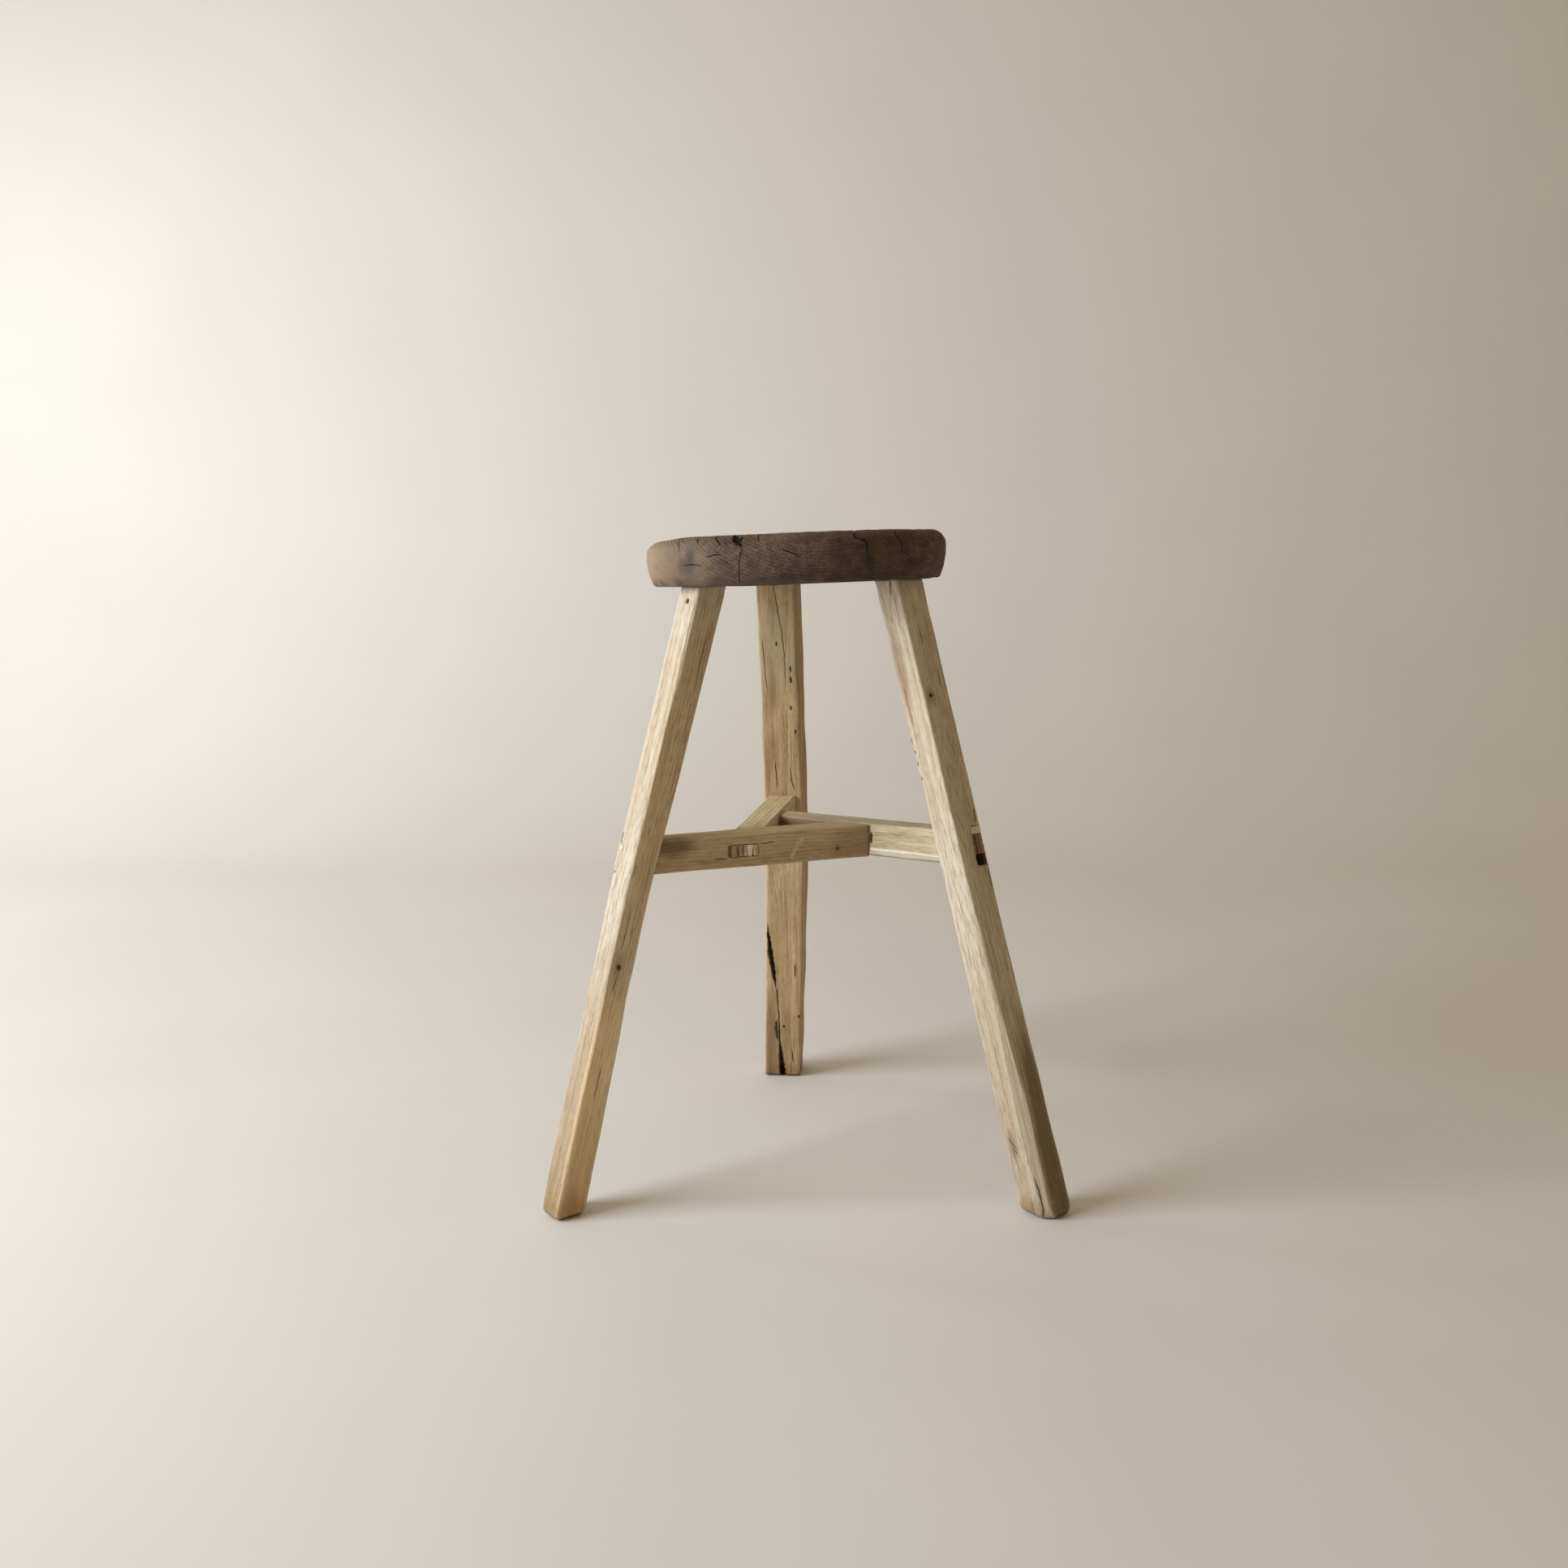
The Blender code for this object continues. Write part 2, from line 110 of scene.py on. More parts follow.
class Shader:
    def __init__(self, name):
        self.material = bpy.data.materials.new(name)
        self.material.use_nodes = True
        self.tree = self.material.node_tree
        self.surface = self.tree.nodes["Principled BSDF"]

    def feed(self, socket, value):
        if isinstance(value, Wire):
            self.tree.links.new(value.socket, socket)
        else:
            socket.default_value = value

    def add(self, kind, settings=None, sockets=None, out=0):
        node = self.tree.nodes.new(kind)
        for name, value in (settings or {}).items():
            if name == "stops":
                stops = node.color_ramp.elements
                while len(stops) < len(value):
                    stops.new(0.5)
                for stop, (position, colour) in zip(stops, value):
                    stop.position = position
                    stop.color = (*colour, 1)
            else:
                setattr(node, name, value)
        for name, value in (sockets or {}).items():
            self.feed(node.inputs[name], value)
        return Wire(self, node.outputs[out])

    def math(self, operation, first, second=0.0):
        return self.add("ShaderNodeMath", {"operation": operation}, {0: first, 1: second})

    def stretch(self, vector, factors):
        return self.add("ShaderNodeVectorMath", {"operation": "MULTIPLY"}, {0: vector, 1: factors})

    def shift(self, vector, offset):
        return self.add("ShaderNodeVectorMath", {"operation": "ADD"}, {0: vector, 1: offset})

    def split(self, vector):
        first = self.add("ShaderNodeSeparateXYZ", sockets={0: vector})
        return [Wire(self, socket) for socket in first.socket.node.outputs]

    def cloud(self, vector, factors, detail=2.0, rough=0.5, out=0):
        return self.add(
            "ShaderNodeTexNoise",
            sockets={
                "Vector": self.stretch(vector, factors),
                "Scale": 1.0,
                "Detail": detail,
                "Roughness": rough,
            },
            out=out,
        )

    def rise(self, value, low, high):  # 0 below low, 1 above high, smooth between
        return self.add(
            "ShaderNodeMapRange",
            {"interpolation_type": "SMOOTHSTEP"},
            {"Value": value, "From Min": low, "From Max": high},
        )

    def mix(self, factor, under, over, blend="MIX"):
        under = under if isinstance(under, Wire) else (*under, 1)
        over = over if isinstance(over, Wire) else (*over, 1)
        settings = {"data_type": "RGBA", "blend_type": blend}
        return self.add("ShaderNodeMix", settings, {0: factor, 6: under, 7: over}, out=2)

    def mark(self, name):  # a number stored at each vertex
        return self.add("ShaderNodeAttribute", {"attribute_name": name}, out="Fac")

    def finish(self, colour, roughness, height, depth):
        bump = self.add("ShaderNodeBump", sockets={"Height": height, "Distance": depth})
        self.feed(self.surface.inputs["Base Color"], colour)
        self.feed(self.surface.inputs["Roughness"], roughness)
        self.feed(self.surface.inputs["Normal"], bump)
        return self.material


# wood grain: each cloud's scale per metre across, across and along, its detail and its roughness
grain = {
    "sway": (7, 7, 2.4),
    "fibre": ((850, 850, 15), 3, 0.65),
    "streak": ((170, 170, 3.2), 2),
    "patch": ((26, 26, 6), 3),
    "mottle": ((420, 420, 110), 2),
    "blotch": ((85, 85, 34), 4, 0.6),
    "dash": ((900, 900, 48), 1),
    "dashFrom": (0.6, 0.68),
    "dashPatch": (0.33, 0.58),
    "lateFrom": (0.35, 0.9),  # shares of a ring's width
    "lateTo": (0.92, 1.0),
    "roughness": 0.74,
}


def woodShader(name, look, place):
    # a solid of wood: rings round a pith, fibres along the piece, then its tints, which are stains and
    # some painted light and shade, and its cracks, darkened as painted shade
    s = Shader(name)
    solid = s.add("ShaderNodeTexCoord", out="Object")
    solid = s.add(
        "ShaderNodeMapping",
        {"vector_type": "TEXTURE"},
        {"Vector": solid, "Location": place["centre"], "Rotation": place["turn"]},
    )
    sway = s.cloud(solid, grain["sway"], out="Color")
    sway = s.stretch(s.shift(sway, (-0.5, -0.5, -0.5)), (look["sway"],) * 3)
    bent = s.shift(solid, sway)
    x, y, z = s.split(bent)
    pithX, pithY = look["pith"]
    radius = ((x - pithX) ** 2 + (y - pithY) ** 2) ** 0.5
    ring = s.math("FRACT", radius / look["ringWidth"])
    late = s.rise(ring, *grain["lateFrom"]) * (1 - s.rise(ring, *grain["lateTo"]))
    fibre = s.cloud(bent, *grain["fibre"])
    streak = s.cloud(bent, *grain["streak"])
    patch = s.cloud(solid, *grain["patch"])
    mottle = s.cloud(solid, *grain["mottle"])
    blotch = s.cloud(solid, *grain["blotch"])
    tone = (
        0.5
        + (fibre - 0.5) * look["fibre"]
        + (streak - 0.5) * look["streak"]
        + (patch - 0.5) * look["patch"]
        + (mottle - 0.5) * look["mottle"]
        + (blotch - 0.5) * look["blotch"]
        - (late - 0.3) * look["rings"]
    )
    colour = s.add("ShaderNodeValToRGB", {"stops": look["tones"]}, {0: tone})
    dash = s.rise(s.cloud(bent, *grain["dash"]), *grain["dashFrom"])
    dash = dash * s.rise(patch, *grain["dashPatch"])
    colour = s.mix(dash * look["dashes"], colour, look["deep"])
    for tint in place["tints"]:
        away = s.shift(solid, [-v for v in tint["spot"]])
        away = s.stretch(away, [1000 / v for v in tint["reach"]])
        reach = s.add("ShaderNodeVectorMath", {"operation": "LENGTH"}, {0: away}, out="Value")
        reach = reach + (patch - 0.5) * tint.get("ragged", 0.8) + (fibre - 0.5) * 0.5
        cover = (1 - s.rise(reach, tint.get("core", 0.3), 1)) * tint["strength"]
        colour = s.mix(cover, colour, tint["colour"], tint.get("blend", "MIX"))
    colour = s.mix(s.mark("grime"), colour, look["grime"], "MULTIPLY")
    # near-black where marked: the dark sole, and painted shade inside the mortises
    colour = s.mix(s.mark("soot"), colour, look["soot"])
    colour = s.mix(s.mark("edge") * look["edge"], colour, look["worn"])
    # painted shade: marked points in and beside the cracks take the near-black crack colour
    colour = s.mix(s.mark("crack"), colour, look["crack"])
    roughness = grain["roughness"] + (fibre - 0.5) * 0.25 + late * 0.05
    height = fibre * 0.55 + streak * 0.35 - late * 0.22 - dash * 0.5
    return s.finish(colour, roughness, height, look["relief"])


print("shaders: ready")


# mesh tools, in metres

meshPlan = {
    "weld": 0.00001,
    "sharpAngle": 38,  # degrees
    "sliceStep": 0.012,
    "sliceHalf": 0.0022,
}

crackPlan = {
    "step": 0.0005,
    "margin": 0.006,
    "reaches": (0.0026, 0.0012),  # how far beside a crack the faces are split, once and again
    "taper": 5,
    "wanderPace": 170,
    "jitterPace": 420,
    "jitter": 0.35,
    "wander": 0.8,  # millimetres
}


def fineSkin(node, grainSize):
    # the node's own solid as an even skin of small faces, which can then be shaped
    mesh = frame["nodes"][node].data.copy()
    bm = bmesh.new()
    bm.from_mesh(mesh)
    bmesh.ops.remove_doubles(bm, verts=bm.verts, dist=meshPlan["weld"])
    bm.to_mesh(mesh)
    bm.free()
    holder = bpy.data.objects.new("holder", mesh)
    bpy.context.scene.collection.objects.link(holder)
    remesh = holder.modifiers.new("remesh", "REMESH")
    remesh.mode = "VOXEL"
    remesh.voxel_size = grainSize
    shaped = holder.evaluated_get(bpy.context.evaluated_depsgraph_get())
    skin = bpy.data.meshes.new_from_object(shaped)
    bpy.data.objects.remove(holder)
    bpy.data.meshes.remove(mesh)
    return skin


def readPoints(mesh):
    points = np.zeros(len(mesh.vertices) * 3)
    mesh.vertices.foreach_get("co", points)
    return points.reshape(-1, 3)


def writePoints(mesh, points):
    mesh.vertices.foreach_set("co", points.ravel())
    mesh.update()


def readNormals(mesh):
    normals = np.zeros(len(mesh.vertices) * 3)
    mesh.vertex_normals.foreach_get("vector", normals)
    return normals.reshape(-1, 3)


def ripple(points, stretch, seed=0.0):
    # smooth noise, about -1 to 1, at each point
    return np.array([noise.noise(point) for point in (points * np.array(stretch) + seed).tolist()])


def waver(values, seed):
    # smooth noise along a line of numbers
    return np.array([noise.noise((value, seed, 0.5)) for value in values.tolist()])


def hump(values, middle, reach):
    # 1 at the middle, falling smoothly to 0 at the reach
    share = np.clip(1 - ((values - middle) / reach) ** 2, 0, 1)
    return share * share


def mark(mesh, name, values=0.0):
    values = np.broadcast_to(values, len(mesh.vertices))
    attribute = mesh.attributes.get(name) or mesh.attributes.new(name, "FLOAT", "POINT")
    attribute.data.foreach_set("value", np.clip(values, 0, 1).astype(np.float32))


def perPoint(value, count):
    return list(value) if isinstance(value, (list, tuple)) else [value] * count


def crackSamples(cracks):
    # points close together along each crack, with the way inward, the half width and the depth there
    samples = []
    for crack in cracks:
        line = [np.array(point) for point, inward in crack["path"]]
        inward = [np.array(inward) for point, inward in crack["path"]]
        widths = perPoint(crack["width"], len(line))
        depths = perPoint(crack["depth"], len(line))
        lengths = [np.linalg.norm(b - a) for a, b in zip(line, line[1:])]
        done = 0.0
        for leg, length in enumerate(lengths):
            steps = max(2, int(length / crackPlan["step"]))
            for step in range(steps):
                share = step / steps
                along = (done + share * length) / sum(lengths)
                ends = crack.get("ends", "closed")
                taper = 1.0
                if ends in ("closed", "openLast"):
                    taper = min(taper, crackPlan["taper"] * along)
                if ends in ("closed", "openFirst"):
                    taper = min(taper, crackPlan["taper"] * (1 - along))
                point = line[leg] + (line[leg + 1] - line[leg]) * share
                inAt = inward[leg] + (inward[leg + 1] - inward[leg]) * share
                side = np.cross((line[leg + 1] - line[leg]) / length, inAt)
                wander = noise.noise((point * crackPlan["wanderPace"]).tolist())
                wander = wander * crack.get("wander", crackPlan["wander"]) / 1000
                width = (widths[leg] + (widths[leg + 1] - widths[leg]) * share) / 1000
                depth = (depths[leg] + (depths[leg + 1] - depths[leg]) * share) / 1000
                jitter = noise.noise((point * crackPlan["jitterPace"]).tolist())
                jitter = 1 + crackPlan["jitter"] * jitter
                samples.append(
                    {
                        "point": point + side * wander,
                        "inward": inAt,
                        "width": width * (0.35 + 0.65 * taper) * jitter,
                        "depth": depth * taper,
                        "dark": crack.get("dark", 1.0) * (0.3 + 0.7 * taper),
                        "wall": crack.get("wall", 2),
                    }
                )
            done += length
    return samples


def carve(mesh, cracks):
    # finer faces beside each crack, then the points there pushed in and marked darker as painted shade
    samples = crackSamples(cracks)
    if not samples:
        mark(mesh, "crack")
        return
    bm = bmesh.new()
    bm.from_mesh(mesh)
    skin = BVHTree.FromBMesh(bm)
    tree = kdtree.KDTree(len(samples))
    for index, sample in enumerate(samples):
        near = skin.find_nearest(sample["point"])[0]
        sample["point"] = np.array(near)
        tree.insert(near, index)
    tree.balance()
    places = np.array([sample["point"] for sample in samples])
    low = places.min(0) - crackPlan["margin"]
    high = places.max(0) + crackPlan["margin"]
    for reach in crackPlan["reaches"]:
        edges = []
        for edge in bm.edges:
            middle = (edge.verts[0].co + edge.verts[1].co) / 2
            if all(low[i] < middle[i] < high[i] for i in range(3)):
                place, index, away = tree.find(middle)
                if away < reach + samples[index]["width"]:
                    edges.append(edge)
        bmesh.ops.subdivide_edges(bm, edges=edges, cuts=1, use_grid_fill=True)
    bmesh.ops.triangulate(bm, faces=[face for face in bm.faces if len(face.verts) > 4])
    bm.to_mesh(mesh)
    bm.free()
    mesh.update()
    points = readPoints(mesh)
    normals = readNormals(mesh)
    dark = np.zeros(len(points))
    inside = np.all((points > low) & (points < high), axis=1)
    for number in np.nonzero(inside)[0]:
        place, index, away = tree.find(points[number])
        sample = samples[index]
        width = sample["width"]
        if away < width * 2 and normals[number] @ sample["inward"] < 0.3:
            share = max(0.0, 1 - (away / width) ** sample["wall"])
            points[number] += sample["inward"] * (sample["depth"] * share)
            dark[number] = sample["dark"] * max(0.0, 1 - max(0.0, away / width - 0.4) / 1.2)
    writePoints(mesh, points)
    mark(mesh, "crack", dark)


def addPiece(name, mesh, material, slotName, *nodes):
    mesh.materials.clear()
    mesh.materials.append(material)
    mesh.shade_smooth()
    mesh.set_sharp_from_angle(angle=radians(meshPlan["sharpAngle"]))
    piece = bpy.data.objects.new(name, mesh)
    bpy.context.scene.collection.objects.link(piece)
    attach(piece, "root")
    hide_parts(*nodes)


class Bar:
    # a leg or a stretcher: t runs along it, u and w across it to its two named faces
    def __init__(self, mesh, across, other, along, start, end):
        self.u, self.w, self.t = (np.array(v, float) for v in (across, other, along))
        points = readPoints(mesh)
        t = points @ self.t
        stations = np.arange(start, end, meshPlan["sliceStep"])
        rows = []
        for station in stations:
            near = points[np.abs(t - station) < meshPlan["sliceHalf"]]
            sides = [near @ self.u, near @ self.w]
            rows.append([f(side) for side in sides for f in (np.min, np.max)])
        rows = np.array(rows)
        self.stations = stations
        self.middleU = (rows[:, 0] + rows[:, 1]) / 2
        self.middleW = (rows[:, 2] + rows[:, 3]) / 2
        self.halfU = np.median(rows[:, 1] - rows[:, 0]) / 2
        self.halfW = np.median(rows[:, 3] - rows[:, 2]) / 2

    def local(self, points):
        t = points @ self.t
        u = points @ self.u - np.interp(t, self.stations, self.middleU)
        w = points @ self.w - np.interp(t, self.stations, self.middleW)
        return u, w, t

    def world(self, u, w, t):
        u = u + np.interp(t, self.stations, self.middleU)
        w = w + np.interp(t, self.stations, self.middleW)
        return u[:, None] * self.u + w[:, None] * self.w + t[:, None] * self.t

    def axis(self):
        ends = self.world(np.zeros(2), np.zeros(2), self.stations[[1, -2]])
        return Vector(ends[1] - ends[0]).normalized(), Vector((ends[0] + ends[1]) / 2)

    def place(self, tints):
        # where the wood's own pattern lies: its z along the bar, its x to the u face
        along, centre = self.axis()
        across = Vector(self.u)
        across = (across - along * across.dot(along)).normalized()
        turn = Matrix((across, along.cross(across), along))
        spots = []
        for tint in tints:
            point, inward = self.facePoint(*tint["at"])
            spots.append({**tint, "spot": turn @ (Vector(point) - centre)})
        return {"centre": centre, "turn": turn.transposed().to_euler(), "tints": spots}

    def facePoint(self, face, t, offset):
        # face is +u, -u, +w or -w; the offset in millimetres runs across the face
        sign = -1 if face[0] == "-" else 1
        if face[1] == "u":
            u, w = sign * self.halfU, offset / 1000
            inward = -sign * self.u
        else:
            u, w = offset / 1000, sign * self.halfW
            inward = -sign * self.w
        return self.world(np.array([u]), np.array([w]), np.array([t]))[0], inward


def trace(cracks, spot):
    # each crack's stops become points on the piece
    return [{**crack, "path": [spot(*stop) for stop in crack["stops"]]} for crack in cracks]


hewing = {
    "jointCalm": 0.05,
    "endCalm": 0.03,
    "skin": 0.003,
    "wave": (30, 30, 14),  # waves per metre across, across and along
    "tool": (90, 90, 26),
    "cutPace": 22,
    "cutSway": 0.25,
    "topFade": (0.012, 0.02),
    "edgeReach": 0.0016,
    "soleShrink": 0.85,
}


def shapeBar(mesh, bar, plan, seed):
    # hewn faces, cut and worn arrises; calm where other pieces meet it
    points = readPoints(mesh)
    u, w, t = bar.local(points)
    low, high = bar.stations[0], bar.stations[-1]
    active = np.clip((plan["topEnd"] - t) / hewing["endCalm"], 0, 1)
    if "joint" in plan:
        active *= 1 - hump(t, plan["joint"], hewing["jointCalm"])
    if "bottomEnd" in plan:
        active *= np.clip((t - plan["bottomEnd"]) / hewing["endCalm"], 0, 1)
    inside = (np.abs(u) < bar.halfU - hewing["skin"]) & (np.abs(w) < bar.halfW - hewing["skin"])
    normals = readNormals(mesh)
    outU = normals @ bar.u
    outW = normals @ bar.w
    local = np.stack([u, w, t], 1)
    wave = ripple(local, hewing["wave"], seed) * plan["wave"]
    tool = ripple(local, hewing["tool"], seed + 7) * plan["tool"]
    push = np.where(inside, 0, (wave + tool) * active)
    u = u + outU * push
    w = w + outW * push
    swell = np.interp(t, np.linspace(low, high, len(plan["swell"])), plan["swell"])
    u, w = u * swell, w * swell
    halfs = (bar.halfU + bar.halfW) * swell
    edge = np.zeros(len(t))
    above, fade = hewing["topFade"]
    for corner, (signU, signW) in enumerate(((1, 1), (-1, 1), (1, -1), (-1, -1))):
        cuts = plan["arrises"][corner]
        cut = np.interp(t, np.linspace(low, high, len(cuts)), cuts) / 1000
        cut = cut * (1 + hewing["cutSway"] * waver(t * hewing["cutPace"], seed + corner * 3.1))
        over = np.maximum(signU * u + signW * w - (halfs - cut), 0) / 2
        over = over * np.clip((plan["topEnd"] + above - t) / fade, 0, 1)
        u = u - signU * over
        w = w - signW * over
        away = np.abs(signU * u + signW * w - (halfs - cut))
        edge = np.maximum(edge, np.exp(-away / hewing["edgeReach"]))
    if "soleRound" in plan:
        reach = plan["soleRound"] / 1000
        drop = np.clip((reach - t) / reach, 0, 1)
        shrink = 1 - reach * (1 - np.sqrt(1 - drop**2)) * hewing["soleShrink"] / bar.halfU
        u, w = u * shrink, w * shrink
    writePoints(mesh, bar.world(u, w, t))
    return edge


print("mesh tools: ready")


# wood finishes: tones run from dark to pale

paleOak = {
    "tones": [(0.2, (0.34, 0.235, 0.135)), (0.42, (0.6, 0.48, 0.335)), (0.75, (0.79, 0.71, 0.6))],
    "deep": (0.3, 0.2, 0.1),
    "grime": (0.55, 0.43, 0.28),
    # near-black for the dark sole, and for painted shade inside the mortises
    "soot": (0.05, 0.035, 0.025),
    "worn": (0.8, 0.73, 0.6),
    # the crack colour is painted shade inside the cracks
    "crack": (0.045, 0.03, 0.018),
    "pith": (0.03, 0.045),
    "ringWidth": 0.0042,
    "sway": 0.007,
    "fibre": 0.55,
    "streak": 0.42,
    "patch": 0.45,
    "mottle": 0.4,
    "blotch": 0.25,
    "rings": 0.06,
    "dashes": 0.55,
    "edge": 0.25,
    "relief": 0.0009,
}

brownOak = {
    **paleOak,
    "tones": [(0.2, (0.22, 0.135, 0.065)), (0.45, (0.45, 0.32, 0.18)), (0.75, (0.6, 0.46, 0.29))],
    "worn": (0.62, 0.49, 0.31),
    "dashes": 0.35,
    "pith": (0.02, -0.03),
    "rings": 0.1,
}

lightOak = {
    **paleOak,
    "tones": [(0.2, (0.32, 0.21, 0.11)), (0.45, (0.58, 0.45, 0.28)), (0.75, (0.7, 0.59, 0.41))],
    "pith": (0.05, 0.02),
    "streak": 0.6,
    "grime": (0.34, 0.23, 0.14),
    "dashes": 0.25,
}

backOak = {
    **paleOak,
    "tones": [(0.2, (0.27, 0.155, 0.07)), (0.45, (0.48, 0.325, 0.17)), (0.75, (0.62, 0.47, 0.28))],
    "worn": (0.6, 0.46, 0.28),
    "ringWidth": 0.008,
    "dashes": 0.35,
    "pith": (-0.01, 0.012),
    "sway": 0.016,
    "rings": 0.14,
    "patch": 0.7,
}

seatOak = {
    **paleOak,
    "tones": [(0.2, (0.026, 0.013, 0.006)), (0.45, (0.085, 0.048, 0.026)), (0.8, (0.2, 0.13, 0.078))],
    "grime": (0.3, 0.22, 0.16),
    "blotch": 0.7,
    "deep": (0.025, 0.014, 0.009),
    "worn": (0.22, 0.15, 0.1),
    "crack": (0.01, 0.007, 0.006),
    "pith": (0.025, -0.11),
    "ringWidth": 0.0036,
    "sway": 0.02,
    "rings": 0.09,
    "fibre": 0.8,
    "patch": 0.7,
    "edge": 0.3,
    "relief": 0.0012,
}

knotBrown = (0.26, 0.13, 0.05)
knotCore = (0.05, 0.028, 0.016)


def tintAt(face, along, offset, reach, colour, strength, **rest):
    # reach in millimetres along the wood's own x, y and z, z being the grain; a tint is a stain on the
    # wood, and some tints are painted light and shade, said where they stand
    at = (face, along, offset)
    return {"at": at, "reach": reach, "colour": colour, "strength": strength, **rest}


def crackOver(stops, width, depth, **rest):
    # half width and depth in millimetres, one for the whole crack or one for each stop
    return {"stops": stops, "width": width, "depth": depth, **rest}


def crackAt(face, line, width, depth, **rest):
    return crackOver([(face, *stop) for stop in line], width, depth, **rest)


# legs: heights from the floor in metres, offsets across a face in millimetres; on the front legs
# the +w face looks to the front left and the +u face to the front right, and on the back leg the
# +w face looks to the front. The arris cuts, in millimetres, and the swell run from the foot up

legShape = {
    "foot": 0.012,
    "joint": 0.368,
    "topEnd": 0.64,
}

legMarks = {
    "sole": (0.02, 0.3),  # reach and strength
    "lowReach": 0.3,
    "soleDark": 0.0055,
    "mortiseSkin": 0.0016,
    "mortiseReach": 0.035,
    # painted shade: how near-black the faces inside each mortise are made
    "mortiseShade": 0.95,
}

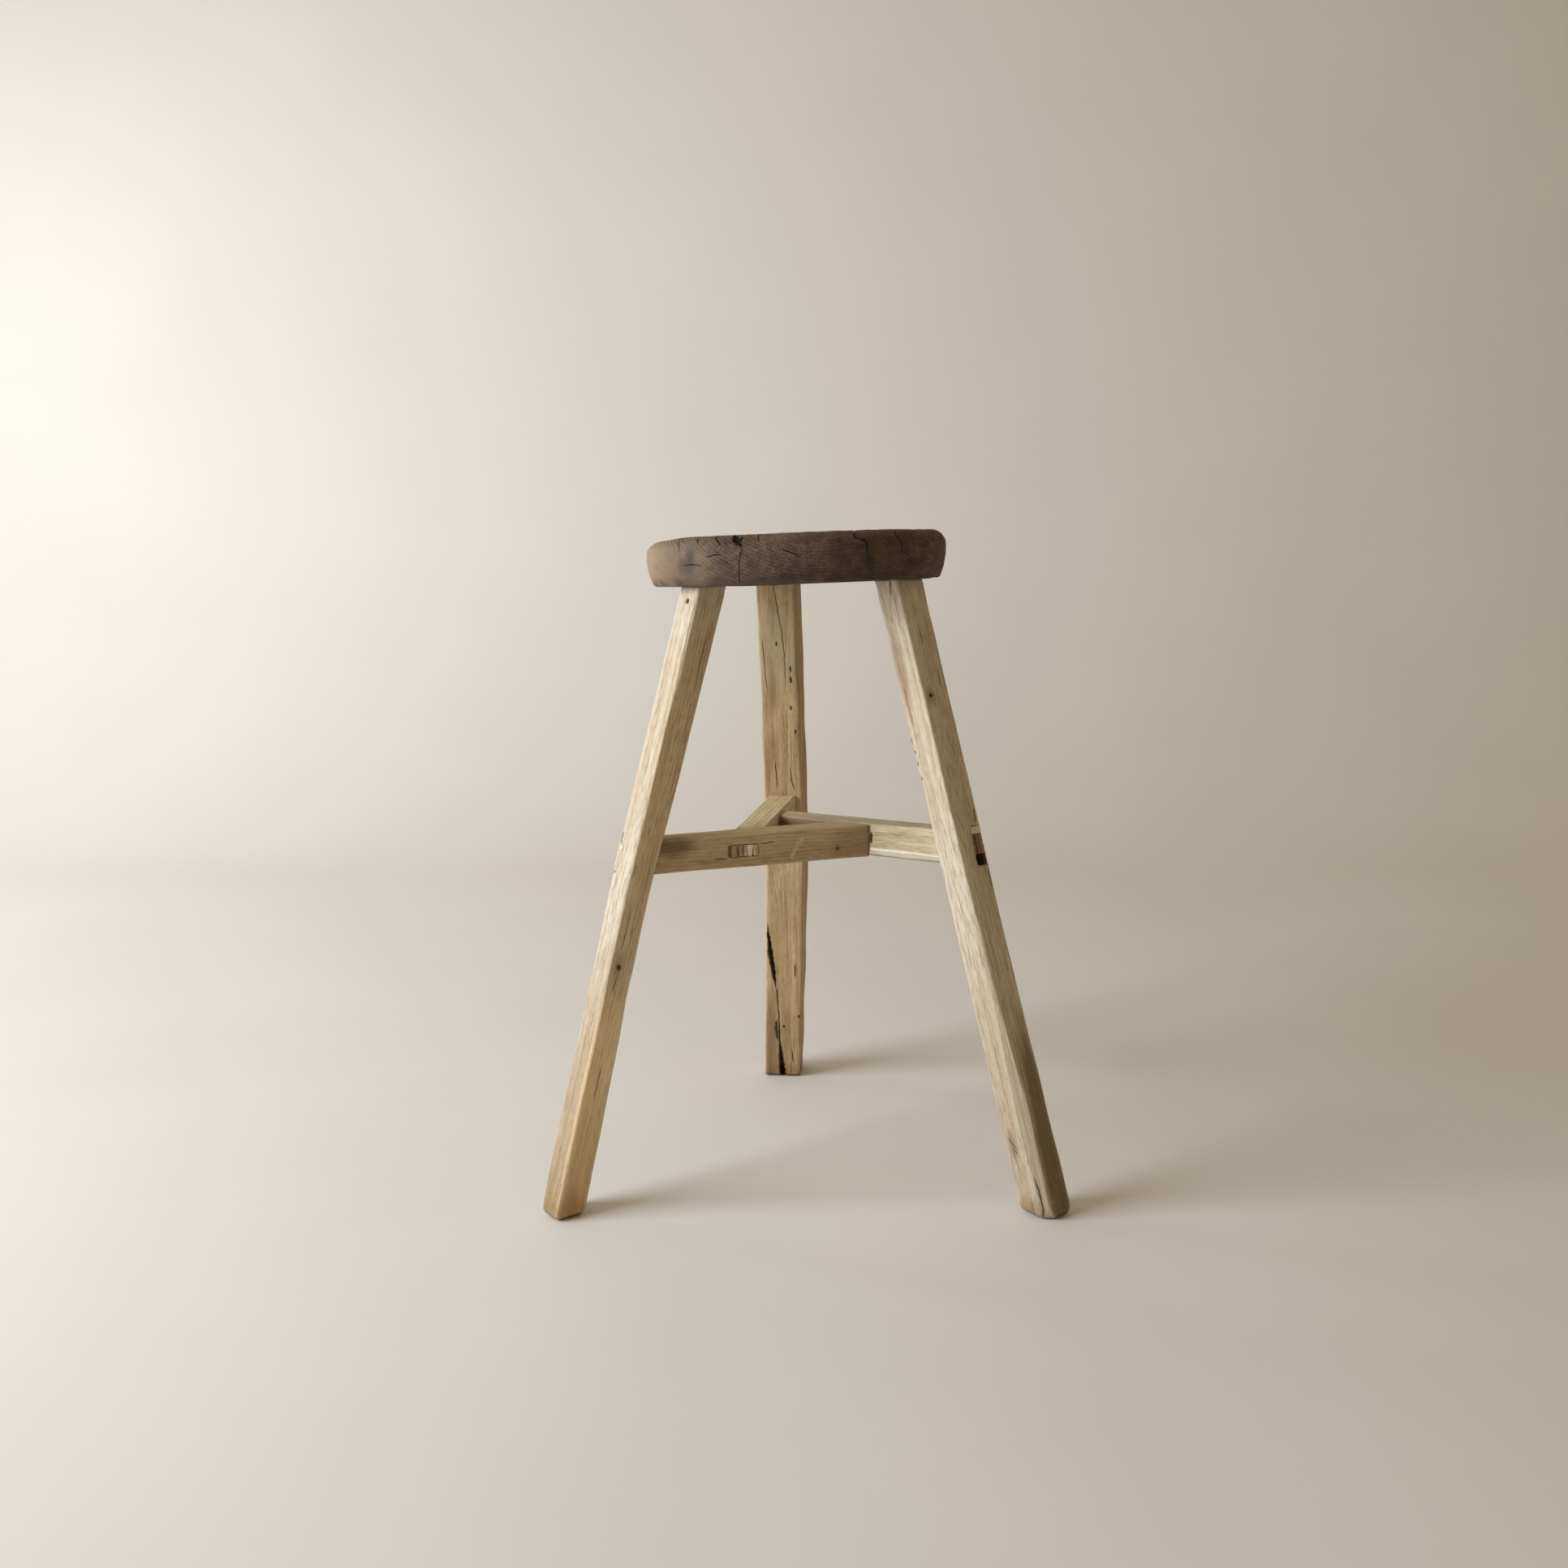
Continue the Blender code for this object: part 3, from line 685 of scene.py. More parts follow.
legPlans = {
    "leg_left": {
        "turn": -52.9,
        "lowDarken": 0.95,
        "wave": 0.0013,
        "tool": 0.0006,
        "arrises": ((4, 1.6, 1.4, 1.2, 1), (7, 6, 2, 1.5), (7, 6.5, 2, 1.5), (4, 2, 2, 2)),
        "swell": (1.13, 1.1, 1.03, 1, 1, 1, 1),
        "grainSize": 0.0013,
        "soleRound": 9,
        "look": paleOak,
        "tints": [
            tintAt("+w", 0.631, 1, (5, 9, 7), knotBrown, 0.55, core=0.1),
            tintAt("+u", 0.26, 5.6, (9, 9, 26), knotBrown, 0.6, core=0.05),
            tintAt("+u", 0.258, 5, (2.6, 5, 4), knotCore, 0.9),
            tintAt("+u", 0.015, 2, (16, 14, 24), knotBrown, 0.5),
            # painted shade: the upper +u face, turned from the light, made darker and warmer
            tintAt("+u", 0.45, 0, (6, 60, 330), (0.97, 0.83, 0.62), 0.7, blend="MULTIPLY"),
            # painted light: bounce from the floor, brightening the lower +u face
            tintAt("+u", 0.1, 0, (6, 60, 200), (0.42, 0.32, 0.16), 0.9, blend="ADD"),
        ],
        "cracks": [
            crackAt("+w", [(0.535, -5), (0.512, -6)], 0.45, 0.6, dark=0.5),
            crackAt("+w", [(0.475, 0), (0.452, 0.5)], 0.4, 0.6, dark=0.45),
            crackAt("+w", [(0.215, 6), (0.195, 5)], 0.45, 0.7, dark=0.5),
            crackAt("+u", [(0.6, -7), (0.57, -6), (0.55, -6.5)], 0.45, 0.8, dark=0.7),
            crackAt("+u", [(0.32, 4), (0.29, 5.4), (0.272, 6)], 0.5, 0.8, dark=0.7),
            crackAt("+u", [(0.25, 5.5), (0.232, 6)], 0.5, 0.8, dark=0.6),
            crackAt("+u", [(0.262, 7), (0.257, 4.5), (0.255, 6)], 1.1, 1.4, dark=0.8),
            crackAt("+u", [(0.158, 2), (0.14, 2.4), (0.122, 3)], 0.5, 1.2),
            crackAt("+w", [(0.393, -13.5), (0.381, -14)], 1, 2.5),
        ],
    },
    "leg_right": {
        "turn": -52.0,
        "lowDarken": 0.45,
        "wave": 0.0015,
        "tool": 0.0006,
        "arrises": ((11, 10, 5, 1.6, 1.2, 1.2, 1.2), (5, 3, 2, 3), (5, 4, 2, 2), (4, 2, 2, 2)),
        "swell": (1.1, 1.07, 1.03, 1, 1, 1, 1),
        "grainSize": 0.0014,
        "soleRound": 9,
        "look": paleOak,
        "tints": [
            tintAt("+u", 0.535, 8.3, (7, 9, 14), knotBrown, 0.6, core=0.1),
            tintAt("+u", 0.535, 8.3, (2.4, 5, 3), knotCore, 0.9),
            tintAt("+w", 0.56, -9, (11, 9, 55), knotBrown, 0.45),
            tintAt("+w", 0.072, -6, (9, 9, 26), knotBrown, 0.55),
            tintAt("+u", 0.08, -8, (26, 20, 170), (0.18, 0.115, 0.04), 0.82, core=0.5),
            tintAt("+w", 0.01, 0, (22, 22, 16), knotBrown, 0.35),
            tintAt("+u", 0.45, 0, (30, 12, 260), knotBrown, 0.16),
        ],
        "cracks": [
            crackAt("+w", [(0.656, 2.8), (0.645, 3.2), (0.635, 4.2)], 0.7, 1.8, ends="openFirst"),
            crackAt("+w", [(0.49, -16), (0.482, -16.3)], 0.9, 1, dark=0.8),
            crackAt("+w", [(0.476, -15.6), (0.472, -15.6)], 0.9, 1, dark=0.8),
            crackAt("+w", [(0.465, -15.2), (0.459, -15.4)], 0.9, 1, dark=0.8),
            crackAt("+w", [(0.449, -14.8), (0.445, -15)], 0.8, 1, dark=0.7),
            crackAt("+w", [(0.08, -10), (0.074, -6), (0.069, 0)], 0.8, 0.9, dark=0.6),
            crackAt("+w", [(0.07, -7), (0.064, -2)], 0.7, 0.8, dark=0.6),
            crackAt(
                "+w", [(0.047, 14), (0.03, 15.6), (0.012, 15.6), (0.002, 15)], 0.7, 2, ends="openLast",
            ),
            crackAt("+u", [(0.418, -14.4), (0.41, -14), (0.402, -13)], 0.6, 1.4),
            crackAt("+u", [(0.357, -14.7), (0.345, -15), (0.335, -14.6)], 0.6, 1.4),
            crackAt("+u", [(0.537, 10), (0.534, 7)], 1.1, 1.3, dark=0.8),
            crackAt("+u", [(0.61, 3), (0.585, 2)], 0.5, 0.8, dark=0.6),
            crackAt("+u", [(0.56, -9), (0.54, -8.5)], 0.5, 0.8, dark=0.6),
        ],
    },
    "leg_back": {
        "turn": -8.0,
        "lowDarken": 0.2,
        "wave": 0.0015,
        "tool": 0.0007,
        "arrises": ((4, 1.5, 1.5, 1.5), (2, 1.5, 1.5, 1.5), (2, 2, 2, 2), (2, 2, 2, 2)),
        "swell": (1, 1),
        "grainSize": 0.00155,
        "soleRound": 3,
        "look": backOak,
        "tints": [
            tintAt("+w", 0.445, -12, (14, 10, 34), (0.3, 0.15, 0.055), 0.35),
            tintAt("+w", 0.4, -19, (5, 10, 60), knotBrown, 0.5),
            tintAt("+w", 0.51, -8, (12, 10, 34), knotBrown, 0.4),
            tintAt("+w", 0.3, -16, (9, 10, 40), knotBrown, 0.4),
            tintAt("+w", 0.155, 15.2, (2.6, 6, 14), (0.25, 0.09, 0.03), 0.8),
            tintAt("+w", 0.57, 0, (40, 20, 70), (0.4, 0.33, 0.2), 0.5),
            tintAt("+w", 0.62, -4, (8, 8, 20), knotBrown, 0.3),
            tintAt("+w", 0.06, -16, (13, 10, 80), (0.24, 0.12, 0.05), 0.65),
            tintAt("+w", 0.15, 6, (16, 10, 90), (0.17, 0.13, 0.07), 0.8, blend="ADD"),
            tintAt("+w", 0.01, 0, (40, 30, 26), knotBrown, 0.4),
            tintAt("+w", 0.055, 4, (14, 10, 60), knotBrown, 0.3),
        ],
        "cracks": [
            crackAt(
                "+w",
                [
                    (0.655, -3.6), (0.643, -2.8), (0.63, -1.4), (0.614, 0.8), (0.593, 4.8),
                    (0.569, 6.9), (0.54, 6.9), (0.52, 7.2),
                ],
                0.42, 1.6, ends="openFirst", dark=0.7,
            ),
            crackAt(
                "+w", [(0.588, -19.6), (0.564, -17.6), (0.539, -16.5), (0.51, -14.4)], 0.4, 1.2,
                dark=0.7,
            ),
            crackAt("+w", [(0.578, -1.6), (0.572, -1.4)], 1, 1.5, dark=0.8),
            crackAt("+w", [(0.549, 13.4), (0.541, 14)], 0.9, 1.5),
            crackAt("+w", [(0.536, 14), (0.528, 14.5)], 1.1, 2),
            crackAt("+w", [(0.501, 13), (0.496, 13.6)], 1.1, 2),
            crackAt("+w", [(0.472, 16.8), (0.466, 17.4)], 1, 1.5),
            crackAt("+w", [(0.435, -8.6), (0.415, -7.4), (0.394, -7.1)], 0.5, 1.2),
            crackAt("+w", [(0.428, 9.6), (0.41, 10.3), (0.394, 14.8)], 0.5, 1.2),
            crackAt(
                "+w", [(0.222, -21.5), (0.2, -19.6), (0.175, -16.4), (0.15, -12.5), (0.124, -8.6)],
                [0.5, 1.6, 3, 2.4, 0.8], [2, 8, 12, 9, 3], wall=5,
            ),
            crackAt(
                "+w", [(0.126, -8.3), (0.1, -6.2), (0.084, -4.8), (0.066, -4.2), (0.049, -3.4)],
                [0.7, 0.5, 0.6, 0.8, 0.8], [3, 2.5, 3, 3, 4], ends="open",
            ),
            crackAt(
                "+w", [(0.085, -7), (0.07, -8), (0.05, -5)], [1, 2.6, 1.2], [1.5, 3.5, 2], dark=0.7,
            ),
            crackAt(
                "+w", [(0.05, -3.6), (0.035, -2.2), (0.018, -0.6), (0.0, 0.6)], [0.9, 2.4, 3.2, 4],
                [4, 9, 13, 15], ends="open", wall=5,
            ),
            crackAt("+w", [(0.075, 1.4), (0.071, 1.8)], 1.1, 2),
            crackAt("+w", [(0.09, 20.5), (0.086, 21)], 1.2, 2),
            crackAt("+w", [(0.162, 15), (0.15, 15.2), (0.143, 15.4)], 0.9, 1, dark=0.6),
            crackAt("+w", [(0.04, 12), (0.018, 15)], 0.6, 1.2, dark=0.7),
        ],
    },
}


def flat(degrees):
    return (cos(radians(degrees)), sin(radians(degrees)), 0)


def makeLeg(node, plan, seed):
    plan = {**legShape, **plan}
    mesh = fineSkin(node, plan["grainSize"])
    turns = flat(plan["turn"]), flat(plan["turn"] - 90)
    bar = Bar(mesh, *turns, (0, 0, 1), plan["foot"], plan["topEnd"])
    mark(mesh, "edge", shapeBar(mesh, bar, plan, seed))
    carve(mesh, trace(plan["cracks"], bar.facePoint))
    u, w, height = bar.local(readPoints(mesh))
    reach, strength = legMarks["sole"]
    low = np.clip(1 - height / legMarks["lowReach"], 0, 1)
    # darker at the sole, and darker towards the floor over the lowest part of each leg
    mark(mesh, "grime", hump(height, 0, reach) * strength + low * plan["lowDarken"])
    # painted shade: the faces inside each mortise are marked near-black; the sole is marked dark as
    # well
    skin = legMarks["mortiseSkin"]
    deep = (np.abs(u) < bar.halfU - skin) & (np.abs(w) < bar.halfW - skin)
    inMortise = deep & (np.abs(height - plan["joint"]) < legMarks["mortiseReach"])
    sole = hump(height, 0, legMarks["soleDark"])
    mark(mesh, "soot", np.maximum(sole, inMortise * legMarks["mortiseShade"]))
    material = woodShader(node + "_oak", plan["look"], bar.place(plan["tints"]))
    addPiece(node + "_oak", mesh, material, "leg_wood", node)


for number, (node, plan) in enumerate(legPlans.items()):
    makeLeg(node, plan, 3.7 + 5.3 * number)
print("legs: three hewn posts")


# stretchers: along from the leg end, in metres along their heading

scar = (
    (-0.04, 7), (-0.0425, 5), (-0.0448, 2), (-0.0468, -1), (-0.0487, -4), (-0.0505, -7.5),
    (-0.052, -11),
)

stretcherShape = {
    "wave": 0.0006,
    "tool": 0.0003,
    "arrises": ((1, 1), (1, 1), (1, 1), (1, 1)),
    "swell": (1, 1),
}

stretcherCommon = {
    "grainSize": 0.0009,
    "endInset": 0.03,
    "headSpread": 0.0006,
    "headReach": 0.006,
    "endDepth": 0.0004,
    "endPace": 330,
    "cutReach": 0.0012,
    "sagFade": 0.02,
}

stretcherPlans = {
    "stretcher_front": {
        "heading": 17.4,
        "look": brownOak,
        "tints": [
            tintAt("+u", -0.06, 0, (30, 60, 200), (0.36, 0.24, 0.12), 0.25),
            tintAt("+u", -0.18, 12, (16, 20, 30), (0.12, 0.06, 0.025), 0.75),
            tintAt("+u", 0.0, -5.6, (7, 9, 12), knotBrown, 0.6, core=0.1),
            tintAt("+u", 0.0, -5.6, (2.4, 5, 3), knotCore, 0.85),
            tintAt("+u", 0.03, 0, (26, 26, 55), (0.22, 0.14, 0.065), 0.6),
            # painted light: the top face made lighter, as if lit from above
            tintAt("+w", -0.1, 0, (60, 2.5, 240), (0.22, 0.18, 0.1), 0.8, blend="ADD"),
            *[
                tintAt("+u", t, offset, (6, 4.2, 2.2), (0.74, 0.61, 0.42), 0.5, ragged=0)
                for t, offset in scar
            ],
            # painted highlight: the tail tenon end on the left leg's outer face, turned to the light,
            # made near white
            tintAt("+u", -0.242, 0, (40, 40, 12), (0.86, 0.81, 0.68), 0.9, core=0.6),
        ],
        "cracks": [
            crackAt("+u", [(t + 0.0004, offset) for t, offset in scar], 0.8, 0.7, dark=0.02),
            crackAt("+u", [(-0.0015, -5), (0.0015, -6)], 1, 1.2, dark=0.8),
            crackAt("+u", [(-0.138, -6.2), (-0.13, -7), (-0.122, -7.6)], 0.5, 0.8, dark=0.8),
            crackAt("+u", [(-0.088, 6.4), (-0.08, 6.2), (-0.07, 7)], 0.5, 0.8, dark=0.8),
            crackAt(
                "+u", [(0.035, 16), (0.0355, 0), (0.0352, -17)], 0.5, 0.6, dark=0.85, wander=0.2,
                ends="open",
            ),
        ],
    },
    "stretcher_right": {
        "heading": 139.65,
        "chamfer": (8, 1.5, 2.5),
        "look": lightOak,
        "tints": [
            # painted shade: the inner -u face near the head, shut in between the stretchers, made
            # darker
            tintAt("-u", -0.02, 0, (4, 60, 88), (0.36, 0.25, 0.17), 0.85, core=0.5, blend="MULTIPLY"),
            tintAt("-u", -0.2505, 0, (60, 60, 10), (0.3, 0.19, 0.13), 0.85, core=0.6),
            # painted shade: the lower part of the tail tenon end made near-black, for the dark hollow
            # of its mortise
            tintAt("-u", -0.2505, -15.5, (60, 6, 10), knotCore, 0.97, core=0.6),
            tintAt("-u", -0.15, -17.5, (12, 9.5, 160), (0.97, 0.93, 0.8), 0.97, core=0.9, ragged=0.1),
        ],
        "cracks": [
            crackAt("-u", [(-0.1185, 9), (-0.1185, -4)], 1.6, 5, wander=0.3, wall=4),
        ],
    },
    "stretcher_back": {
        "heading": 260.5,
        "look": lightOak,
        "tints": [
            # painted light: the top face made lighter, as if lit from above
            tintAt("+w", -0.03, 0, (60, 2.5, 300), (0.2, 0.15, 0.06), 0.85, blend="ADD"),
        ],
        "headTone": (0.26, 0.16, 0.085),
        "cracks": [],
    },
}


def endGrain(mesh, along):
    # the layered, torn fibres on the sawn ends; returns the dark layers
    points = readPoints(mesh)
    facing = readNormals(mesh) @ along
    layers = waver(points @ np.cross(along, (0, 0, 1)) * stretcherCommon["endPace"], 8.1)
    ends = np.abs(facing) > 0.7
    depth = layers * stretcherCommon["endDepth"]
    points += np.outer(np.where(ends, depth * np.sign(facing), 0), along)
    writePoints(mesh, points)
    return np.where(ends, np.clip(0.55 + layers * 2.6, 0, 1), 0)


def tighten(mesh, along):
    # the end of the head tenon, spread by its wedge until it fills its mortise
    points = readPoints(mesh)
    normals = readNormals(mesh)
    reach = points @ along
    near = np.clip(1 - (reach.max() - reach) / stretcherCommon["headReach"], 0, 1)
    near = near * (np.abs(normals @ along) < 0.9)
    writePoints(mesh, points + normals * (near * stretcherCommon["headSpread"])[:, None])


def steepen(mesh, bar, cut, keep, sag):
    # the cut along the lower -u edge stands up straighter, so only keep millimetres go underneath,
    # and the underside sags a little between the ends
    points = readPoints(mesh)
    u, w, t = bar.local(points)
    side, below = u + bar.halfU, w + bar.halfW
    on = np.abs(side + below - cut / 1000) < stretcherCommon["cutReach"]
    on = on & (side < cut / 1000 + 0.001)
    u = np.where(on, (side * keep / cut) - bar.halfU, u)
    fromEnds = np.minimum(t - bar.stations[0], bar.stations[-1] - t)
    between = np.clip(fromEnds / stretcherCommon["sagFade"], 0, 1)
    w = w - sag / 1000 * between * np.clip(1 - below * 1000 / cut, 0, 1)
    writePoints(mesh, bar.world(u, w, t))


def makeStretcher(node, plan, seed):
    mesh = fineSkin(node, stretcherCommon["grainSize"])
    along = np.array(flat(plan["heading"]))
    reach = readPoints(mesh) @ along
    start = reach.min() + stretcherCommon["endInset"]
    end = reach.max() - stretcherCommon["endInset"]
    bar = Bar(mesh, flat(plan["heading"] - 90), (0, 0, 1), along, start, end)
    if "chamfer" in plan:
        steepen(mesh, bar, *plan["chamfer"])
    edge = shapeBar(mesh, bar, {**stretcherShape, "topEnd": end, "bottomEnd": start}, seed)
    tighten(mesh, along)
    mark(mesh, "grime", endGrain(mesh, along))
    mark(mesh, "edge", edge)
    carve(mesh, trace(plan["cracks"], bar.facePoint))
    mark(mesh, "soot")
    tints = list(plan["tints"])
    if "headTone" in plan:
        tints.append(tintAt("+u", reach.max(), 0, (60, 60, 8), plan["headTone"], 0.6, core=0.7))
    material = woodShader(node + "_oak", plan["look"], bar.place(tints))
    addPiece(node + "_oak", mesh, material, "stretcher_wood", node)


for number, (node, plan) in enumerate(stretcherPlans.items()):
    makeStretcher(node, plan, 31.1 + 4.9 * number)
print("stretchers: three rails")


# seat: a thick slab, its grain running from front to back. A place on the rim is degrees round
# from the front, to the right, then millimetres up from the top, so below it is less than 0;
# a place on top is x and y in millimetres

seatPlan = {
    "grainSize": 0.0019,
    "radius": 0.161,
    "thickness": 0.0506,
    "look": seatOak,
    "tints": [
        # painted light: the rim's left side, where the light comes from, made lighter in two steps
        tintAt("rim", -84, -26, (62, 80, 150), (0.42, 0.3, 0.185), 0.76, core=0.3),
        tintAt("rim", -47, -27, (50, 40, 90), (0.27, 0.185, 0.12), 0.6, core=0.4),
        tintAt("rim", -42, -24, (10, 24, 20), (0.03, 0.027, 0.03), 0.75, core=0.1),
        tintAt("rim", -46, -30, (16, 16, 14), (0.05, 0.035, 0.04), 0.6, core=0.1),
        tintAt("rim", -22, -6, (8, 10, 12), (0.02, 0.014, 0.01), 0.7, core=0.1),
        # painted shade: the rim's front right, turned from the light, made darker
        tintAt("rim", 28, -26, (70, 70, 150), (0.035, 0.02, 0.01), 0.3, core=0.5),
        tintAt("rim", 26, -28, (10, 40, 30), (0.02, 0.014, 0.01), 0.6, core=0.1),
    ],
    "cracks": [
        crackOver(
            [
                ("top", -108, -30), ("top", -112, -70), ("rim", -50.8, -1), ("rim", -48, -11),
                ("rim", -48.8, -20.6),
            ],
            0.6, 2.5,
        ),
        crackOver([("top", -97, -90), ("rim", -39.4, -1), ("rim", -38.9, -7)], 0.55, 2),
        crackOver(
            [("top", -80, -105), ("rim", -30.3, -2), ("rim", -28.9, -7), ("rim", -30.2, -12)], 0.65,
            2.5,
        ),
        crackOver(
            [
                ("top", -62, -112), ("top", -60, -136), ("rim", -22, -0.5), ("rim", -21.3, -5),
                ("rim", -20.5, -12),
            ],
            [0.8, 3, 5.5, 3.6, 0.5], [2, 4, 7, 6, 3], wall=5, ends="open",
        ),
        crackOver(
            [("rim", -20.6, -9), ("rim", -19.9, -15), ("rim", -20.8, -26), ("rim", -22.3, -50)], 0.36,
            2, ends="open", wander=1.8, dark=0.85,
        ),
        crackOver(
            [("top", -61, -120), ("top", -57, -70), ("top", -60, -10), ("top", -55, 50)], 0.8, 3,
        ),
        crackOver([("top", -36, -130), ("rim", -14, -3), ("rim", -13.4, -7.5)], 0.5, 1.8),
        crackOver([("rim", -35.5, -21.5), ("rim", -30.9, -19.4), ("rim", -26.9, -19.8)], 0.45, 1.6),
        crackOver([("rim", -46, -28.9), ("rim", -40.4, -28.4), ("rim", -36.3, -30.3)], 0.45, 1.6),
        crackOver([("rim", -27, -26.1), ("rim", -24.8, -28.7)], 0.4, 1.2),
        crackOver([("rim", -6.4, -15.3), ("rim", -2.2, -19.6), ("rim", 1.7, -24.7)], 0.45, 1.4),
        crackOver([("rim", 15, -4), ("rim", 15.1, -12)], 0.7, 1, dark=0.1),
        crackOver(
            [
                ("top", 62, -20), ("top", 60, -80), ("top", 57, -135), ("rim", 20.8, -5),
                ("rim", 24.8, -11), ("rim", 25.8, -28.5), ("rim", 26.5, -44.4),
            ],
            0.6, 2.5,
        ),
        crackOver(
            [
                ("top", 98, -60), ("top", 98, -110), ("rim", 38.6, -3.7), ("rim", 40.4, -12.8),
                ("rim", 41.6, -38.6),
            ],
            0.55, 2.2,
        ),
        crackOver(
            [
                ("top", -20, 60), ("top", -24, 110), ("top", -22, 145), ("rim", 172, -6),
                ("rim", 171, -24), ("rim", 173, -40),
            ],
            0.7, 3,
        ),
        crackOver([("top", 40, 95), ("rim", 163, -4), ("rim", 164, -22)], 0.6, 2.4),
        crackOver([("top", -78, 80), ("rim", -148, -4), ("rim", -149, -30)], 0.6, 2.4),
        crackOver([("top", 8, -60), ("top", 12, 0), ("top", 10, 34)], 0.55, 2),
        crackOver([("top", 30, -20), ("top", 33, 48)], 0.5, 1.6),
        crackOver([("rim", 120, -16), ("rim", 131, -18)], 0.45, 1.4),
        crackOver([("rim", -112, -26), ("rim", -100, -24)], 0.45, 1.4),
    ],
}


class Slab:
    # the seat's own frame: x to the right, y back, z up through the tilted top, from the top's centre
    def __init__(self, plan):
        self.plan = plan
        self.centre = np.array(mounts["seat_top"]["pos_m"])
        self.up = np.array(mounts["seat_top"]["axis"])
        self.back = np.array((0.0, 1.0, 0.0))
        self.right = np.cross(self.back, self.up)
        self.axes = np.array((self.right, self.back, self.up))

    def local(self, points):
        return (points - self.centre) @ self.axes.T

    def world(self, points):
        return points @ self.axes + self.centre

    def spot(self, kind, first, second):
        if kind == "top":
            return self.world(np.array((first / 1000, second / 1000, 0))), -self.up
        out = np.array((sin(radians(first)), -cos(radians(first)), 0))
        point = out * self.plan["radius"] + np.array((0, 0, second / 1000))
        return self.world(point), self.world(-out) - self.centre

    def place(self, tints):
        turn = Matrix((self.right, -self.up, self.back))
        spots = []
        for tint in tints:
            point = self.spot(*tint["at"])[0]
            spots.append({**tint, "spot": turn @ Vector(point - self.centre)})
        return {"centre": Vector(self.centre), "turn": turn.transposed().to_euler(), "tints": spots}


# the slab's wear, in metres; a noise is its waves per metre along x, y and z, then its seed
slabWear = {
    "outerFrom": 0.1,
    "outerOver": 0.05,
    "upper": 0.03,
    "lowSide": 95,  # degrees
    "slopeFrom": 0.118,
    "slopeOver": 0.04,
    "sink": 0.0046,
    "swell": ((9, 9, 24), 5.5),
    "swellSize": 0.0011,
    "rough": ((60, 60, 60), 2.5),
    "roughSize": 0.0004,
    "torn": ((34, 34, 90), 9.1),
    "tornFrom": 0.28,
    "tornDepth": 0.004,
    "arrisReach": 0.006,
    "ridges": ((120, 16, 40), 1.5),
    "ridgeSize": 0.0003,
    "dish": 0.0007,
    "dishReach": 0.12,
    "rimFrom": 0.142,
    "topSkin": 0.004,
    "edgeStrength": 0.7,
    "underDirt": 0.35,
    "lowEdge": ((60, 60, 90), 3.3),
    "lowEdgeReach": 0.014,
    "lowEdgeDirt": 0.8,
}


def shapeSeat(mesh, slab):
    # worn lower on its left, torn and rounded at the rim's two arrises, slightly dished on top
    plan, wear = slab.plan, slabWear
    points = slab.local(readPoints(mesh))
    normals = readNormals(mesh) @ slab.axes.T
    x, y, z = points.T
    out = np.hypot(x, y)
    outer = np.clip((out - wear["outerFrom"]) / wear["outerOver"], 0, 1)
    upper = np.clip(1 + z / wear["upper"], 0, 1)
    left = np.clip(np.cos(np.arctan2(x, -y) + radians(wear["lowSide"])), 0, 1) ** 1.5
    slope = np.clip((out - wear["slopeFrom"]) / wear["slopeOver"], 0, 1)
    z = z - wear["sink"] * left * slope * slope * (3 - 2 * slope) * upper
    swell = ripple(points, *wear["swell"]) * wear["swellSize"]
    swell = swell + ripple(points, *wear["rough"]) * wear["roughSize"]
    torn = np.maximum(ripple(points, *wear["torn"]) - wear["tornFrom"], 0) * wear["tornDepth"]
    fromArris = np.minimum(np.abs(z), np.abs(z + plan["thickness"]))
    corner = np.exp(-((fromArris / wear["arrisReach"]) ** 2)) * outer
    push = (swell - torn * corner) * outer
    dish = wear["dish"] * (1 - np.clip(out / wear["dishReach"], 0, 1) ** 2)
    worn = ripple(points, *wear["ridges"]) * wear["ridgeSize"] - dish
    free = np.where(out > wear["rimFrom"], 1.0, 0.0)
    flatTop = np.clip(normals[:, 2], 0, 1)
    x = x + normals[:, 0] * push * free
    y = y + normals[:, 1] * push * free
    onTop = np.where(z > -wear["topSkin"], 1, 0)
    z = z + normals[:, 2] * push * free + worn * flatTop * onTop
    writePoints(mesh, slab.world(np.stack([x, y, z], 1)))
    return corner


def makeSeat(plan):
    wear = slabWear
    mesh = fineSkin("seat", plan["grainSize"])
    slab = Slab(plan)
    mark(mesh, "edge", shapeSeat(mesh, slab) * wear["edgeStrength"])
    carve(mesh, trace(plan["cracks"], slab.spot))
    points = slab.local(readPoints(mesh))
    under = np.clip(-points[:, 2] / plan["thickness"] * 1.4 - 0.7, 0, 1)
    lowEdge = hump(points[:, 2], -plan["thickness"], wear["lowEdgeReach"])
    lowEdge = lowEdge * (wear["lowEdgeDirt"] + ripple(points, *wear["lowEdge"]))
    mark(mesh, "grime", np.maximum(under * wear["underDirt"], lowEdge))
    mark(mesh, "soot")
    material = woodShader("seat_oak", plan["look"], slab.place(plan["tints"]))
    addPiece("seat_oak", mesh, material, "seat_wood", "seat")


makeSeat(seatPlan)
print("seat: slab")


# wedges and nail

wedgeOak = {
    **paleOak,
    "tones": [(0.2, (0.42, 0.31, 0.2)), (0.45, (0.72, 0.61, 0.45)), (0.75, (0.86, 0.79, 0.66))],
}

wedgePlan = {
    "grainSize": 0.0006,
    "rough": ((300, 300, 300), 4.4),
    "roughSize": 0.00015,
    "flare": 0.22,  # how much wider a head wedge is at its top and narrower at its foot
}


